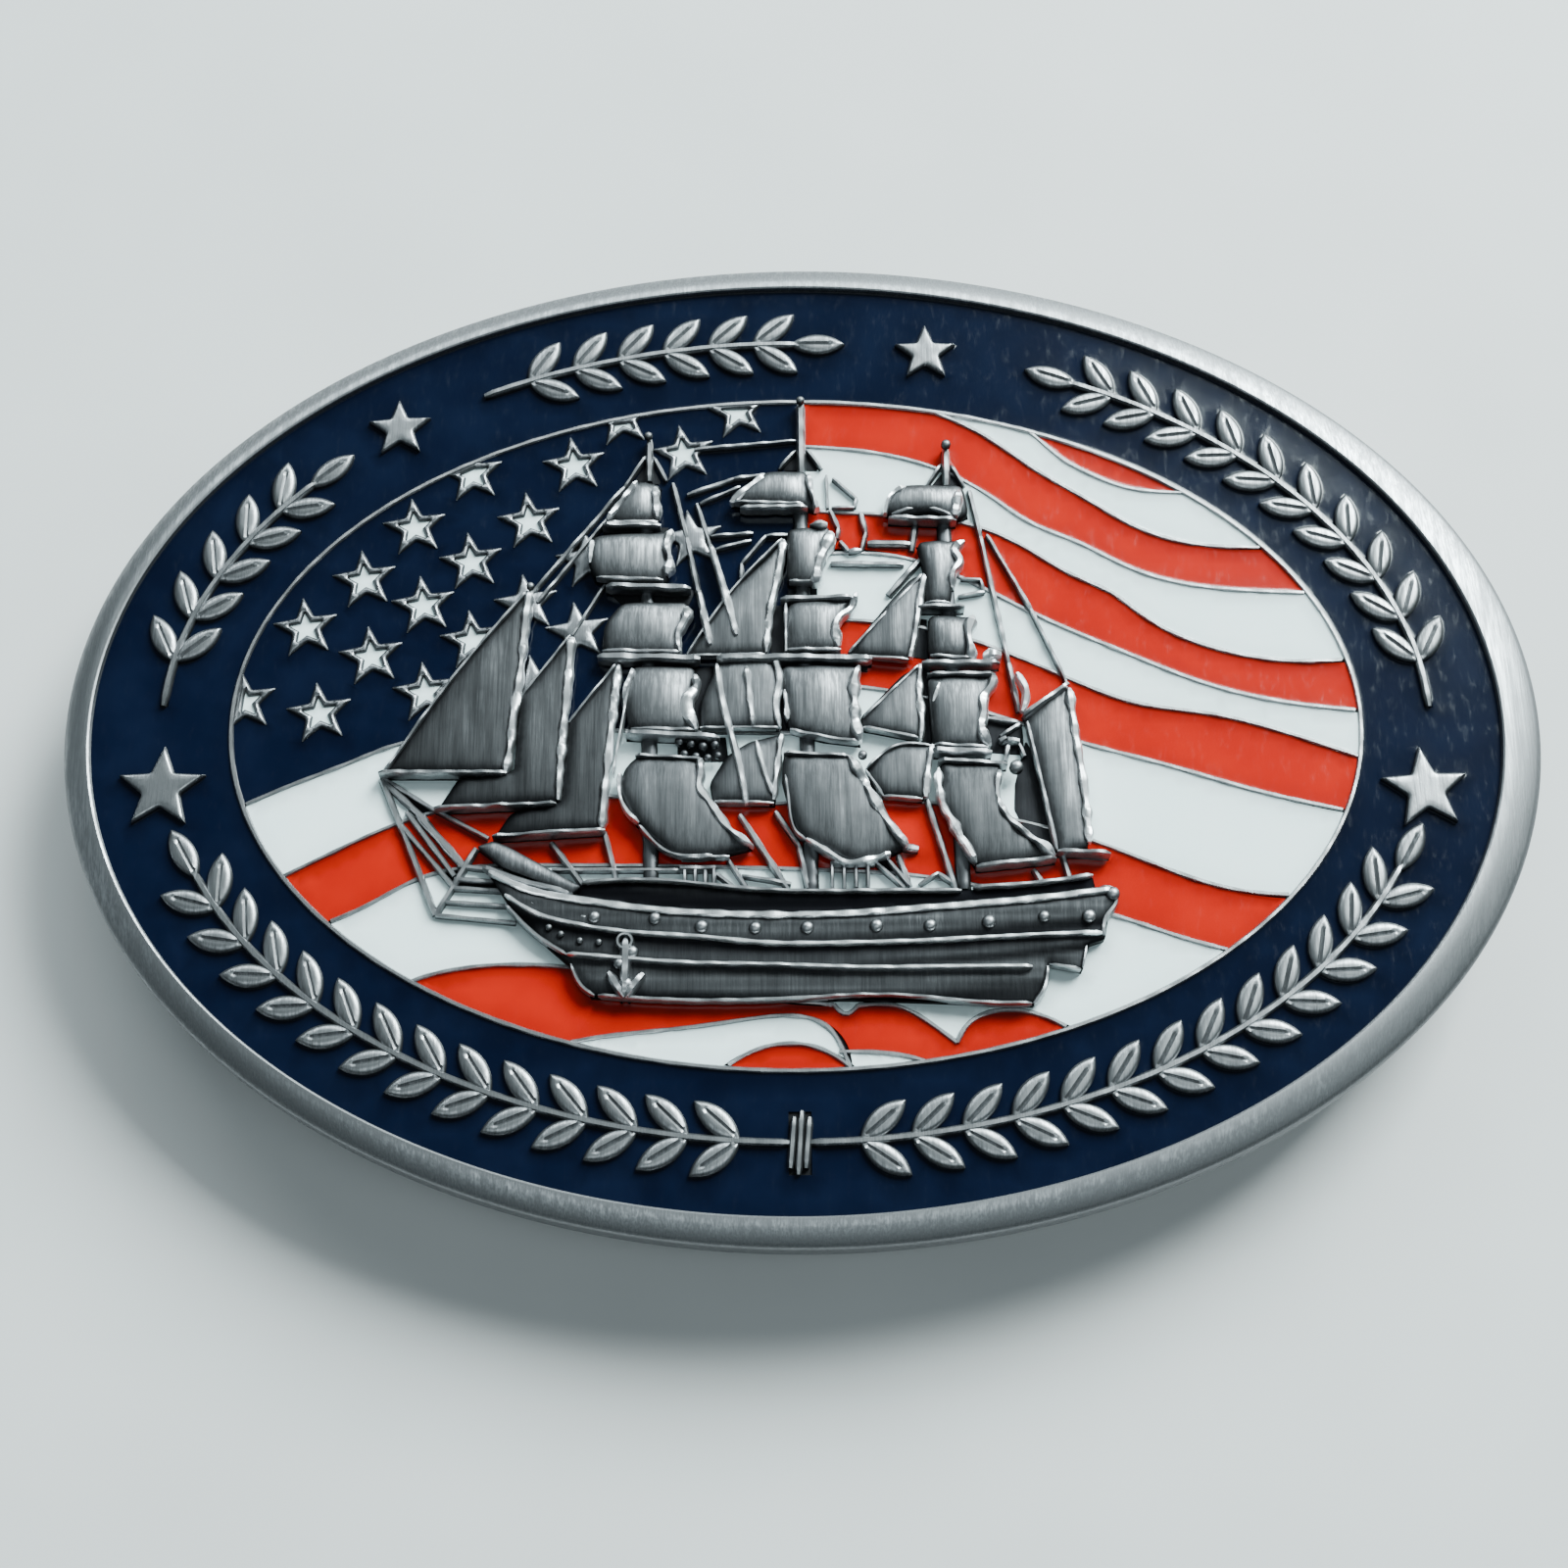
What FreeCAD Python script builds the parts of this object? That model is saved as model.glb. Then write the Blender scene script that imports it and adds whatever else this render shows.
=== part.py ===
"""Commemorative belt buckle: an oval pewter casting with soft enamel and a raised tall ship.

Millimetres.  +Z is the way the face looks, +Y is up in the design, +X is to the viewer's right.
The origin is under the middle of the oval, on the plane the buckle lies on.
"""
import FreeCAD, Part
import math
import os

V = FreeCAD.Vector

# ---------------------------------------------------------------- driving dimensions
PLATE_A = 44.45            # half length of the oval, 3.5 inches over all
PLATE_B = 31.75            # half height of the oval, 2.5 inches over all
BACK_Z = 5.0               # back of the plate above the surface it lies on
ENAMEL_Z = 7.4             # top of the enamel
WALL_RISE = 0.08           # walls and ring stand this much proud of the enamel
RIM_RISE = 0.40            # inner edge of the rim above the enamel
RIM_DROP = 0.65            # outer edge of the rim below its inner edge
ENAMEL_DEPTH = 0.6         # depth of every enamel pool
ART_X = -0.40              # the sunk design sits this far off the oval's middle

RIM_TOP_A = 42.47          # inner top edge of the rim
RIM_TOP_B = 30.11
RECESS_A = 42.35           # border enamel ends here, a hair inside the rim
RECESS_B = 29.98
BACK_SINK = 0.30           # shallow sunk panel on the back
BACK_PANEL_A = 39.0
BACK_PANEL_B = 26.4
RING_A = 33.97             # thin ring between border and flag
RING_B = 21.70
RING_WIDTH = 0.30
WALL_WIDTH = 0.24          # walls between two colours

STAR_R = 2.12              # canton stars: metal outline and white middle
STAR_WAIST = 0.43
STAR_FILL_R = 1.28
STAR_TILT = 9.0            # degrees, all canton stars lean this far to the left
MIN_POOL = 0.45            # smaller gaps between sails stay bare metal, mm2

RIGGING_RISE = 0.45        # ship: three levels above the enamel
SAIL_RISE = 0.90
HULL_RISE = 1.35

LEAF_LENGTH = 3.5          # garland in the border
LEAF_WIDTH = 1.45
LEAF_ANGLE = 38.0          # lean of each leaf from the stem, degrees
LEAF_STEP = 2.9            # from one pair of leaves to the next
STEM_WIDTH = 0.5
TIE_SIZE = (1.3, 3.6)      # band that ties the two lower sprays together
MID_A = 38.15              # oval that runs along the middle of the border
MID_B = 25.85

HINGE_X = 16.4             # bail hinge line
PIVOT_Z = 2.2
WIRE_R = 1.1               # bail wire
PIVOT_GAP = 0.05           # running clearance of the wire in its lugs
BAIL_LENGTH = 15.0         # hinge line to the middle of the belt bar
BAIL_HALF = 20.4           # half the distance between the arms
PIVOT_BEND = 1.6           # bend from pivot to arm
BAR_BEND = 3.4             # bend from arm to belt bar
PIN_END_Y = 13.2           # inner ends of the wire
LUG_IN_Y = 14.0            # lugs stand between the arms
LUG_OUT_Y = 18.6
LUG_HALF_X = 2.2
LUG_ROUND = 1.2            # rounding along the foot of each lug

STUD_X = -28.0             # belt stud
STUD_R = 1.9
STUD_ROUND = 0.6           # rounding at the stud's tip
FOOT_R = 3.6
FOOT_THICK = 0.7

# ---------------------------------------------------------------- the design: flag
# Each wall runs along a smooth line through a few points (x, y) about the middle of the design.
CANTON_FOOT = [(-34.6, -6.3), (-32.5, -5.3), (-30, -4.15), (-27, -2.9), (-24.3, -1.75), (-20, -0.9),
               (-14, -0.7), (-7, -0.9), (0.5, -1.0)]
CANTON_SIDE = [(0.5, -1.1), (0.5, 22.5)]
STRIPE_LINES = [
    [(14.0, 20.2), (15.2, 19.2), (16.8, 17.6), (18.5, 16.5), (20.6, 15.55), (22.5, 15.2), (25.4, 15.1)],
    [(7.0, 21.7), (9.2, 20.8), (12, 19.25), (15, 16.9), (18, 14.85), (22, 12.35), (25, 11.5), (30.6, 11.3)],
    [(0.5, 18.5), (4, 18.2), (8.4, 17.1), (12, 15.1), (14.6, 13.1), (17.5, 11.7), (20.5, 10.0), (24, 8.8),
     (28, 8.3), (32.8, 8.1)],
    [(0.5, 14.0), (5, 13.7), (11, 12.9), (14, 11.5), (17, 9.5), (19.6, 8.1), (21, 6.9), (23, 5.5),
     (26, 4.3), (29.5, 3.6), (34.4, 3.7)],
    [(0.5, 10.9), (6.6, 10.7), (11.5, 8.6), (15.2, 6.5), (20, 4.2), (24.8, 2.1), (29, 0.95), (34.9, 0.2)],
    [(0.5, 6.6), (5, 6.3), (9, 5.6), (13, 4.15), (16.7, 2.4), (20.5, 0.85), (25, 0.1), (29, -1.0),
     (34.4, -3.0)],
    [(0.5, 2.4), (4.5, 1.9), (11, 0.4), (17.2, -1.75), (22, -3.15), (27, -4.75), (33.8, -6.4)],
    [(-31.4, -10.55), (-27, -8.25), (-23.5, -6.6), (-18, -5.2), (-11, -5.0), (-3, -5.6), (5, -5.2),
     (12, -6.4), (17.3, -7.9), (22, -9.85), (25.5, -11.0), (30.8, -11.4)],
    [(-28.6, -13.2), (-25.5, -11.9), (-22.1, -10.05), (-16, -9.3), (-7, -9.4), (2, -9.7), (8, -10.2),
     (14, -11.5), (18.5, -12.6), (22.5, -14.0), (26.6, -15.1)],
    [(-23.9, -17.2), (-22.3, -16.3), (-20.3, -15.7), (-13.5, -15.5), (-6, -16.8), (2.0, -17.85)],
    [(2.0, -17.85), (2.7, -18.4), (3.4, -17.9)],
    [(3.4, -17.9), (5.5, -17.9), (7.3, -18.8), (9.0, -20.1)],
    [(9.0, -20.1), (9.6, -19.1), (10.7, -18.4), (12.2, -18.2), (13.8, -18.5), (16.8, -20.2)],
    [(-14.8, -20.4), (-12.5, -19.85), (-7, -19.2), (-2.5, -18.6), (0, -18.5), (1.3, -18.9), (2.9, -21.6)],
    [(2.3, -20.6), (4.5, -20.65), (6.2, -20.9), (8.6, -21.7)],
    [(-5.0, -22.1), (-2.8, -20.6), (-0.6, -20.1), (1.3, -20.45), (3.6, -22.1)],
]
# One point inside each stripe, top of the flag first.
STRIPE_SEEDS = [
    ("red_stripe_1", (20.5, 16.5)), ("white_stripe_1", (17, 16.4)), ("red_stripe_2", (5, 20)),
    ("white_stripe_2", (4, 16)), ("red_stripe_3", (15, 9)), ("white_stripe_3", (20, 2.6)),
    ("red_stripe_4", (20, -1)), ("white_stripe_4", (20, -5)), ("red_stripe_5", (22, -12)),
    ("white_stripe_5", (18, -15)), ("red_stripe_6", (-15, -17.5)), ("white_stripe_6", (-8, -20.2)),
    ("red_stripe_7", (-1, -21)), ("white_stripe_7", (4.5, -21.15)),
]
CANTON_SEED = (-25, 0)

FILLED_STARS = [(-33.3, 1.15), (-28.7, 0.42), (-25.8, 4.15), (-29.9, 6.05), (-22.4, 1.75), (-19.7, 5.2),
                (-22.8, 7.55), (-26.5, 9.3), (-20.0, 10.5), (-23.6, 12.9), (-16.5, 13.3), (-20.2, 16.6),
                (-13.8, 17.2), (-10.9, 20.5), (-6.95, 18.0), (-3.55, 21.0)]
BARE_STARS = [(-16.5, 7.6), (-13.3, 5.7), (-15.9, 2.2), (-12.8, 10.6), (-6.4, 12.0)]

# Border stars: middle, size, lean in degrees.
BORDER_STARS = [((-37.75, -4.42), 2.75, 0.0), ((37.35, -4.88), 2.75, 3.0),
                ((-24.9, 19.8), 2.1, 4.0), ((8.45, 25.15), 2.1, 0.0)]
# Garland sprays: angle of the stem's tail and of its tip along the border's middle oval, degrees.
SPRAYS = [(178, 141), (121, 87), (1, 66), (269.3, 200), (270.7, 340)]
TIE_ANGLE = 270

# ---------------------------------------------------------------- the design: ship
MASTS = [
    ((-9.1, 18.8), (-9.05, 15.8), 0.45), ((0.42, 21.4), (0.45, 16.3), 0.55),
    ((9.5, 18.1), (9.5, 15.4), 0.5),
    ((-9.3, 15.8), (-8.6, -10.5), 0.9), ((0.3, 16.3), (0.8, -11), 0.9), ((9.2, 15.4), (9.7, -11), 0.9),
]
TOP_LEGS = [
    ((-9.25, 17.8), (-10.7, 15.4), 0.3), ((-8.85, 17.7), (-8.0, 16.0), 0.3),
    ((0.1, 18.1), (-0.95, 16.8), 0.3),
    ((0.75, 18.2), (1.7, 16.8), 0.3), ((9.25, 17.1), (8.3, 15.6), 0.3), ((9.8, 17.0), (10.6, 15.5), 0.3),
]
STAYS = [
    ((-10.6, 15.6), (-16.2, 8.2), 0.32), ((-11.3, 13.8), (-15.8, 7.6), 0.3),
    ((-16.9, 7.3), (-24.6, -3.5), 0.35),
    ((-11.7, 8.8), (-13.6, 5.4), 0.3), ((-13.6, 5.2), (-16.5, 1.2), 0.35),
    ((-10.9, 3.4), (-13.6, -0.6), 0.3),
    ((-7.6, 15.8), (-6.7, 12.0), 0.35), ((-6.7, 12.0), (-5.9, 8.0), 0.4), ((-5.9, 8.0), (-5.2, 4.4), 0.35),
    ((-6.1, 14.4), (-5.2, 11.3), 0.3), ((-5.2, 11.3), (-3.6, 5.0), 0.4), ((-6.7, 15.0), (-3.8, 16.1), 0.3),
    ((-3.8, 16.1), (-1.7, 16.4), 0.3), ((-5.9, 14.4), (-3.4, 15.5), 0.3), ((-6.3, 18.2), (0.1, 18.8), 0.28),
    ((-5.2, 12.1), (-2.6, 12.3), 0.25), ((-4.9, 11.2), (-2.7, 11.8), 0.25),
    ((-3.3, 9.0), (-3.3, 10.2), 0.3),
    ((-3.3, 10.2), (-1.8, 12.1), 0.3), ((-1.8, 12.1), (-0.4, 12.2), 0.3),
    ((10.9, 15.2), (11.5, 12.0), 0.35),
    ((11.5, 12.0), (12.9, 3.4), 0.35), ((12.9, 3.4), (13.4, 0.2), 0.4), ((11.9, 12.1), (14.4, 7.0), 0.28),
    ((14.4, 7.0), (16.3, 2.3), 0.28), ((16.3, 2.3), (16.9, -1.8), 0.3), ((2.4, 16.1), (3.85, 14.7), 0.28),
    ((3.85, 14.7), (3.7, 14.05), 0.28), ((3.7, 14.05), (2.3, 14.05), 0.26),
    ((2.0, 16.3), (2.05, 14.0), 0.22),
    ((2.2, 13.9), (2.7, 12.6), 0.35), ((2.7, 12.6), (2.6, 11.9), 0.35), ((4.1, 13.7), (4.4, 12.3), 0.35),
    ((4.4, 12.3), (4.1, 11.1), 0.35), ((4.1, 11.1), (3.3, 11.0), 0.35), ((3.3, 11.0), (2.8, 11.7), 0.35),
    ((4.5, 11.6), (7.2, 11.5), 0.45), ((2.2, 10.2), (6.7, 10.1), 0.35), ((7.5, 12.9), (7.2, 11.0), 0.4),
    ((7.7, 10.4), (5.7, 8.0), 0.5), ((10.2, 9.1), (11.4, 9.0), 0.25), ((11.4, 9.0), (11.6, 8.2), 0.25),
    ((11.6, 8.2), (10.0, 7.9), 0.3),
]
YARDS = [
    ((-11.9, 12.55), (-8.3, 12.55), 0.35), ((-11.6, 8.4), (-6.4, 8.2), 0.5),
    ((-12.0, 3.7), (-5.8, 3.5), 0.6),
    ((-10.2, -1.3), (-4.6, -1.6), 0.45), ((-9.6, -2.75), (-5.6, -3.0), 0.3),
    ((-3.4, 13.75), (0.8, 13.75), 0.35),
    ((-0.9, 7.5), (3.5, 7.55), 0.4), ((-4.8, 3.6), (4.6, 3.5), 0.55), ((-0.8, -2.65), (3.1, -2.85), 0.3),
    ((5.8, 13.0), (10.0, 12.8), 0.35), ((7.4, 6.9), (10.3, 6.9), 0.35), ((7.6, 3.2), (12.3, 3.15), 0.4),
    ((7.9, 2.4), (12.0, 2.4), 0.3), ((8.0, -2.5), (11.6, -2.6), 0.5), ((8.4, -3.15), (12.5, -3.4), 0.35),
    ((13.6, -0.25), (16.4, 1.8), 0.35), ((15.2, -8.85), (18.3, -9.05), 0.35),
    ((-24.8, -3.75), (-17.2, -3.8), 0.35),
    ((-21.4, -6.0), (-14.2, -5.75), 0.3), ((-17.9, -7.8), (-11.3, -7.4), 0.3),
    ((10.4, -9.8), (15.1, -9.3), 0.35),
]
BOW_LINES = [
    ((-24.7, -3.8), (-21.6, -5.8), 0.3), ((-21.6, -5.8), (-18.2, -7.7), 0.32),
    ((-24.5, -4.1), (-21.9, -6.6), 0.45),
    ((-22.4, -6.2), (-19.6, -9.4), 0.5), ((-23.1, -6.0), (-20.1, -10.0), 0.35),
    ((-23.4, -6.8), (-20.1, -10.7), 0.35),
    ((-24.7, -3.9), (-23.2, -7.4), 0.45), ((-23.2, -7.4), (-21.1, -12.4), 0.4),
    ((-18.9, -8.3), (-20.1, -10.6), 0.45),
    ((-20.1, -10.6), (-21.1, -12.4), 0.4), ((-19.9, -9.4), (-17.3, -9.7), 0.35),
    ((-20.1, -10.2), (-17.6, -10.4), 0.35),
    ((-20.2, -10.75), (-17.2, -10.95), 0.35), ((-20.6, -11.6), (-16.8, -11.9), 0.3),
    ((-21.1, -12.4), (-16.4, -12.9), 0.3),
]
SHEETS = [
    ((-11.4, -7.3), (-10.6, -10.4), 0.35), ((-14.5, -8.0), (-12.5, -10.7), 0.4),
    ((-3.4, -6.3), (-0.6, -10.9), 0.4),
    ((-1.3, -6.1), (0.1, -8.3), 0.35), ((0.1, -8.3), (0.6, -10.9), 0.45),
    ((-4.1, -9.1), (-2.9, -11.0), 0.35),
    ((-4.9, -9.9), (-3.5, -11.0), 0.3), ((-14.4, -9.7), (-6.9, -9.75), 0.3),
    ((-3.3, -10.1), (-0.4, -10.6), 0.3),
    ((4.4, -9.2), (6.2, -10.9), 0.3), ((5.2, -9.1), (6.6, -10.8), 0.3), ((5.9, -8.9), (6.5, -10.7), 0.4),
    ((7.7, -5.4), (9.2, -11.0), 0.4), ((13.8, -9.8), (14.4, -10.9), 0.35),
    ((15.1, -7.0), (16.1, -11.3), 0.35),
    ((6.2, -8.4), (7.1, -8.5), 0.5), ((7.1, -10.7), (8.2, -10.0), 0.3), ((8.2, -10.0), (9.0, -10.6), 0.3),
    ((11.4, -0.2), (13.3, -0.5), 0.35), ((12.2, -1.4), (13.4, -0.6), 0.35),
    ((12.4, -3.0), (12.7, -1.8), 0.35),
    ((12.1, -1.75), (13.3, -1.85), 0.35), ((13.3, -1.85), (13.6, -2.7), 0.35),
]
JIBS_AND_STAYSAILS = [
    [(-16.3, 8.3), (-16.5, 4.5), (-16.8, 1), (-17.1, -2.2), (-17.3, -3.75), (-24.6, -3.65), (-20.3, 3.0)],
    [(-13.6, 5.3), (-13.8, 1), (-14.1, -5.6), (-21.3, -6.0), (-20.1, -4.0), (-16.8, -3.6), (-16.6, 1.2)],
    [(-10.8, 3.5), (-10.75, 1), (-11.2, -4), (-11.5, -7.3), (-17.9, -7.8), (-16.9, -6.2), (-14, -5.6),
     (-13.6, -0.4)],
    [(-0.65, 11.8), (-1.0, 9.3), (-1.5, 6.5), (-1.75, 3.9), (-6.8, 3.8), (-5.2, 6.2), (-3.7, 8.4),
     (-1.9, 10.2)],
    [(-1.4, 3.8), (-1.0, 2.0), (-1.2, 0.8), (-0.9, -1.0), (-5.8, -0.9), (-5.8, 0.8), (-4.8, 3.4)],
    [(-0.9, -1.3), (-1.1, -3.2), (-1.3, -5.8), (-5.0, -5.6), (-5.2, -4.4), (-4.2, -2.7), (-2.9, -1.8)],
    [(8.05, 9.4), (7.5, 7.0), (7.2, 5.0), (6.8, 3.5), (3.1, 3.9), (4.2, 5.4), (5.6, 7.2), (7.0, 8.9)],
    [(7.5, 3.2), (7.4, 1.0), (7.5, -0.8), (7.3, -1.7), (4.0, -1.0), (3.8, -0.2), (5.1, 1.1), (6.4, 2.5)],
    [(8.2, -2.1), (7.8, -3.6), (7.5, -5.6), (5.1, -5.3), (4.3, -4.5), (4.1, -3.6), (5.0, -2.5),
     (6.0, -2.0)],
    [(13.6, -0.3), (15.0, 0.9), (16.3, 1.8), (16.6, -1.0), (16.9, -4.5), (17.1, -8.5), (15.3, -8.9),
     (14.6, -5.0),
     (14.1, -2.0)],
]
SQUARE_SAILS = [
    [(-9.8, 15.7), (-8.3, 15.5), (-8.45, 14.0), (-8.4, 12.8), (-11.7, 12.7)],
    [(-12.5, 11.9), (-7.6, 12.2), (-7.8, 10.9), (-7.6, 9.9), (-7.9, 8.7), (-12.3, 8.9), (-12.8, 10.3)],
    [(-10.6, 7.3), (-6.6, 7.4), (-6.5, 6.5), (-7.0, 5.2), (-6.9, 3.8), (-11.8, 4.0), (-11.6, 5.9)],
    [(-9.9, 3.1), (-6.1, 3.1), (-6.0, 1.8), (-6.5, 0.7), (-5.9, -1.2), (-10.0, -1.1), (-10.4, 1.0)],
    [(-9.5, -2.7), (-5.8, -3.0), (-5.6, -4.6), (-4.8, -6.4), (-2.6, -8.5), (-5.0, -9.1), (-7.3, -9.0),
     (-9.5, -7.0),
     (-10.5, -5.0), (-10.3, -3.6)],
    [(-1.8, 16.3), (0.8, 16.4), (0.9, 15.0), (1.4, 13.6), (0.4, 13.9), (-4.0, 14.1)],
    [(-0.5, 12.3), (2.1, 12.5), (2.2, 11.9), (1.6, 10.4), (1.35, 8.5), (-0.5, 8.6)],
    [(-0.4, 7.3), (3.5, 7.5), (2.9, 6.6), (2.5, 5.7), (2.75, 4.0), (-0.8, 4.0), (-0.65, 5.8)],
    [(-0.9, 3.1), (3.8, 3.1), (3.5, 1.8), (3.5, 0.0), (3.85, -2.0), (1.6, -1.7), (-0.5, -1.1), (-0.7, 0.8)],
    [(-0.8, -2.6), (3.1, -2.8), (4.0, -4.5), (5.0, -6.4), (6.4, -8.5), (5.2, -9.1), (3.4, -9.5),
     (1.6, -8.7),
     (0.0, -7.8), (-0.6, -5.6), (-0.9, -4.2)],
    [(5.4, 13.6), (5.8, 14.6), (6.8, 15.35), (10.5, 15.35), (10.8, 13.3), (9.9, 12.9), (8.6, 13.5),
     (6.0, 13.2)],
    [(7.5, 11.4), (10.4, 11.5), (9.8, 10.6), (10.1, 9.9), (9.65, 9.0), (9.5, 7.1), (7.9, 7.1), (7.9, 9.3)],
    [(8.1, 6.4), (10.85, 6.3), (10.5, 5.2), (10.7, 3.4), (8.0, 3.6), (8.0, 5.0)],
    [(7.9, 2.3), (12.0, 2.4), (11.9, 1.5), (11.3, 0.7), (11.0, -1.1), (11.5, -2.4), (8.1, -2.2)],
    [(8.5, -3.2), (12.2, -3.5), (11.8, -4.4), (11.9, -6.0), (12.9, -7.4), (15.1, -9.3), (10.4, -9.8),
     (9.1, -7.4),
     (8.5, -5.6)],
]
HULL = [(-18.4, -9.5), (-16.6, -10.2), (-13.0, -11.3), (-12.6, -10.5), (-6.0, -10.6), (-2.0, -11.0),
(9.6, -11.1),
        (13.6, -10.8), (17.2, -10.2), (17.4, -11.2), (18.3, -11.1), (18.65, -11.7), (18.0, -12.7),
        (17.7, -14.2),
        (16.8, -14.5), (16.3, -16.1), (14.4, -15.6), (14.1, -17.4), (13.4, -18.1), (4.0, -17.7),
        (-11.9, -17.5),
        (-13.2, -15.6), (-15.0, -14.0), (-16.5, -12.4)]
BOWSPRIT = [(-18.8, -8.4), (-17.8, -8.05), (-16.8, -8.5), (-12.6, -10.9), (-13.2, -11.3), (-17.2, -9.7)]
ANCHOR = [((-9.95, -14.0), (-9.95, -17.6), 0.6), ((-10.9, -16.1), (-9.95, -17.6), 0.6),
          ((-8.9, -16.2), (-9.95, -17.6), 0.6)]


# ---------------------------------------------------------------- flat shapes
def oval(a, b, z=0.0, x=0.0):
    """Closed ellipse wire, its long axis along X."""
    ellipse = Part.Ellipse(V(x, 0, z), a, b)
    return Part.Wire([ellipse.toShape()])


def smooth_curve(points):
    curve = Part.BSplineCurve()
    curve.interpolate(points)
    return curve


def ribbon(points, width):
    """Flat band of even width along a smooth line."""
    middle = [V(ART_X + x, y, 0) for x, y in points]
    line = smooth_curve(middle)
    sides = []
    for sign in (1, -1):
        side = []
        for point in middle:
            along = line.tangent(line.parameter(point))[0]
            side.append(point + V(-along.y, along.x, 0) * (sign * width / 2))
        sides.append(smooth_curve(side))
    left, right = sides
    edges = [
        left.toShape(),
        Part.LineSegment(left.EndPoint, right.EndPoint).toShape(),
        right.toShape(),
        Part.LineSegment(right.StartPoint, left.StartPoint).toShape(),
    ]
    return Part.Face(Part.Wire(Part.__sortEdges__(edges)))


def polygon(points):
    corners = [V(ART_X + x, y, 0) for x, y in points]
    return Part.Face(Part.makePolygon(corners + corners[:1]))


def bar(start, end, width):
    """Flat straight strip with square ends."""
    (x0, y0), (x1, y1) = start, end
    length = math.hypot(x1 - x0, y1 - y0)
    side_x = -(y1 - y0) / length * width / 2
    side_y = (x1 - x0) / length * width / 2
    return polygon([(x0 + side_x, y0 + side_y), (x1 + side_x, y1 + side_y),
                    (x1 - side_x, y1 - side_y), (x0 - side_x, y0 - side_y)])


def star(middle, radius, waist, lean):
    corners = []
    for step in range(10):
        reach = radius if step % 2 == 0 else radius * waist
        angle = math.radians(90 + lean + 36 * step)
        corners.append((middle[0] + reach * math.cos(angle), middle[1] + reach * math.sin(angle)))
    return polygon(corners)


def leaf(base, angle):
    """Pointed leaf: two arcs from the stem to the tip."""
    along = V(math.cos(angle), math.sin(angle), 0)
    across = V(-along.y, along.x, 0)
    tip = base + along * LEAF_LENGTH
    belly = base + along * (LEAF_LENGTH / 2)
    upper = Part.Arc(base, belly + across * (LEAF_WIDTH / 2), tip)
    lower = Part.Arc(tip, belly - across * (LEAF_WIDTH / 2), base)
    return Part.Face(Part.Wire([upper.toShape(), lower.toShape()]))


def union(faces):
    if len(faces) == 1:
        return faces[0]
    merged = faces[0].multiFuse(faces[1:])
    return Part.Shell(merged.Faces).removeSplitter()


def slab(flat, low, high):
    """Flat shape made solid between two heights."""
    lifted = flat.copy()
    lifted.translate(V(0, 0, low))
    return lifted.extrude(V(0, 0, high - low))


# ---------------------------------------------------------------- border garland
def band_point(turn):
    return V(ART_X + MID_A * math.cos(turn), MID_B * math.sin(turn), 0)


def spray(tail_deg, tip_deg):
    """One laurel spray: a stem along the border, leaves in pairs, and a leaf at the tip."""
    turn = math.radians(tail_deg)
    tip = math.radians(tip_deg)
    way = 1 if tip > turn else -1
    stations = []
    while (tip - turn) * way > 0:
        heading = math.atan2(way * MID_B * math.cos(turn), -way * MID_A * math.sin(turn))
        stations.append((band_point(turn), heading))
        turn += way * LEAF_STEP / math.hypot(MID_A * math.sin(turn), MID_B * math.cos(turn))
    leaves = []
    for point, heading in stations[1:-1]:
        for lean in (LEAF_ANGLE, -LEAF_ANGLE):
            leaves.append(leaf(point, heading + math.radians(lean)))
    end, heading = stations[-1]
    tuck = V(math.cos(heading), math.sin(heading), 0) * STEM_WIDTH
    leaves.append(leaf(end - tuck, heading))
    stem = ribbon([(point.x - ART_X, point.y) for point, heading in stations], STEM_WIDTH)
    return union([stem] + leaves)


def border_ornaments():
    shapes = [spray(tail, tip) for tail, tip in SPRAYS]
    knot = band_point(math.radians(TIE_ANGLE))
    half_x = TIE_SIZE[0] / 2
    half_y = TIE_SIZE[1] / 2
    tie = polygon([(knot.x - ART_X + sx * half_x, knot.y + sy * half_y)
                   for sx, sy in ((-1, -1), (1, -1), (1, 1), (-1, 1))])
    shapes.append(tie)
    for middle, radius, lean in BORDER_STARS:
        shapes.append(star(middle, radius, STAR_WAIST, lean))
    return union(shapes)


# ---------------------------------------------------------------- ship, as flat shapes at three heights
def strips(lines):
    return [bar(start, end, width) for start, end, width in lines]


def ship_levels():
    lines = strips(MASTS + TOP_LEGS + STAYS + YARDS + BOW_LINES + SHEETS)
    middle = [polygon(points) for points in JIBS_AND_STAYSAILS]
    high = [polygon(points) for points in SQUARE_SAILS + [HULL, BOWSPRIT]] + strips(ANCHOR)
    high_shape = union(high)
    middle_shape = union(middle + high_shape.Faces)
    return union(lines + middle_shape.Faces), middle_shape, high_shape


# ---------------------------------------------------------------- enamel pools
def pick(shape, point):
    """The face of a cut-up area that holds a point."""
    spot = V(ART_X + point[0], point[1], 0)
    for face in shape.Faces:
        if face.isInside(spot, 0.01, True):
            return face
    raise ValueError("no area at %s, %s" % point)


def pools(face, *obstacles):
    """What is left of an area between the raised shapes, without scraps too small to fill."""
    left = face.cut(list(obstacles))
    return [part for part in left.Faces if part.Area > MIN_POOL]


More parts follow.
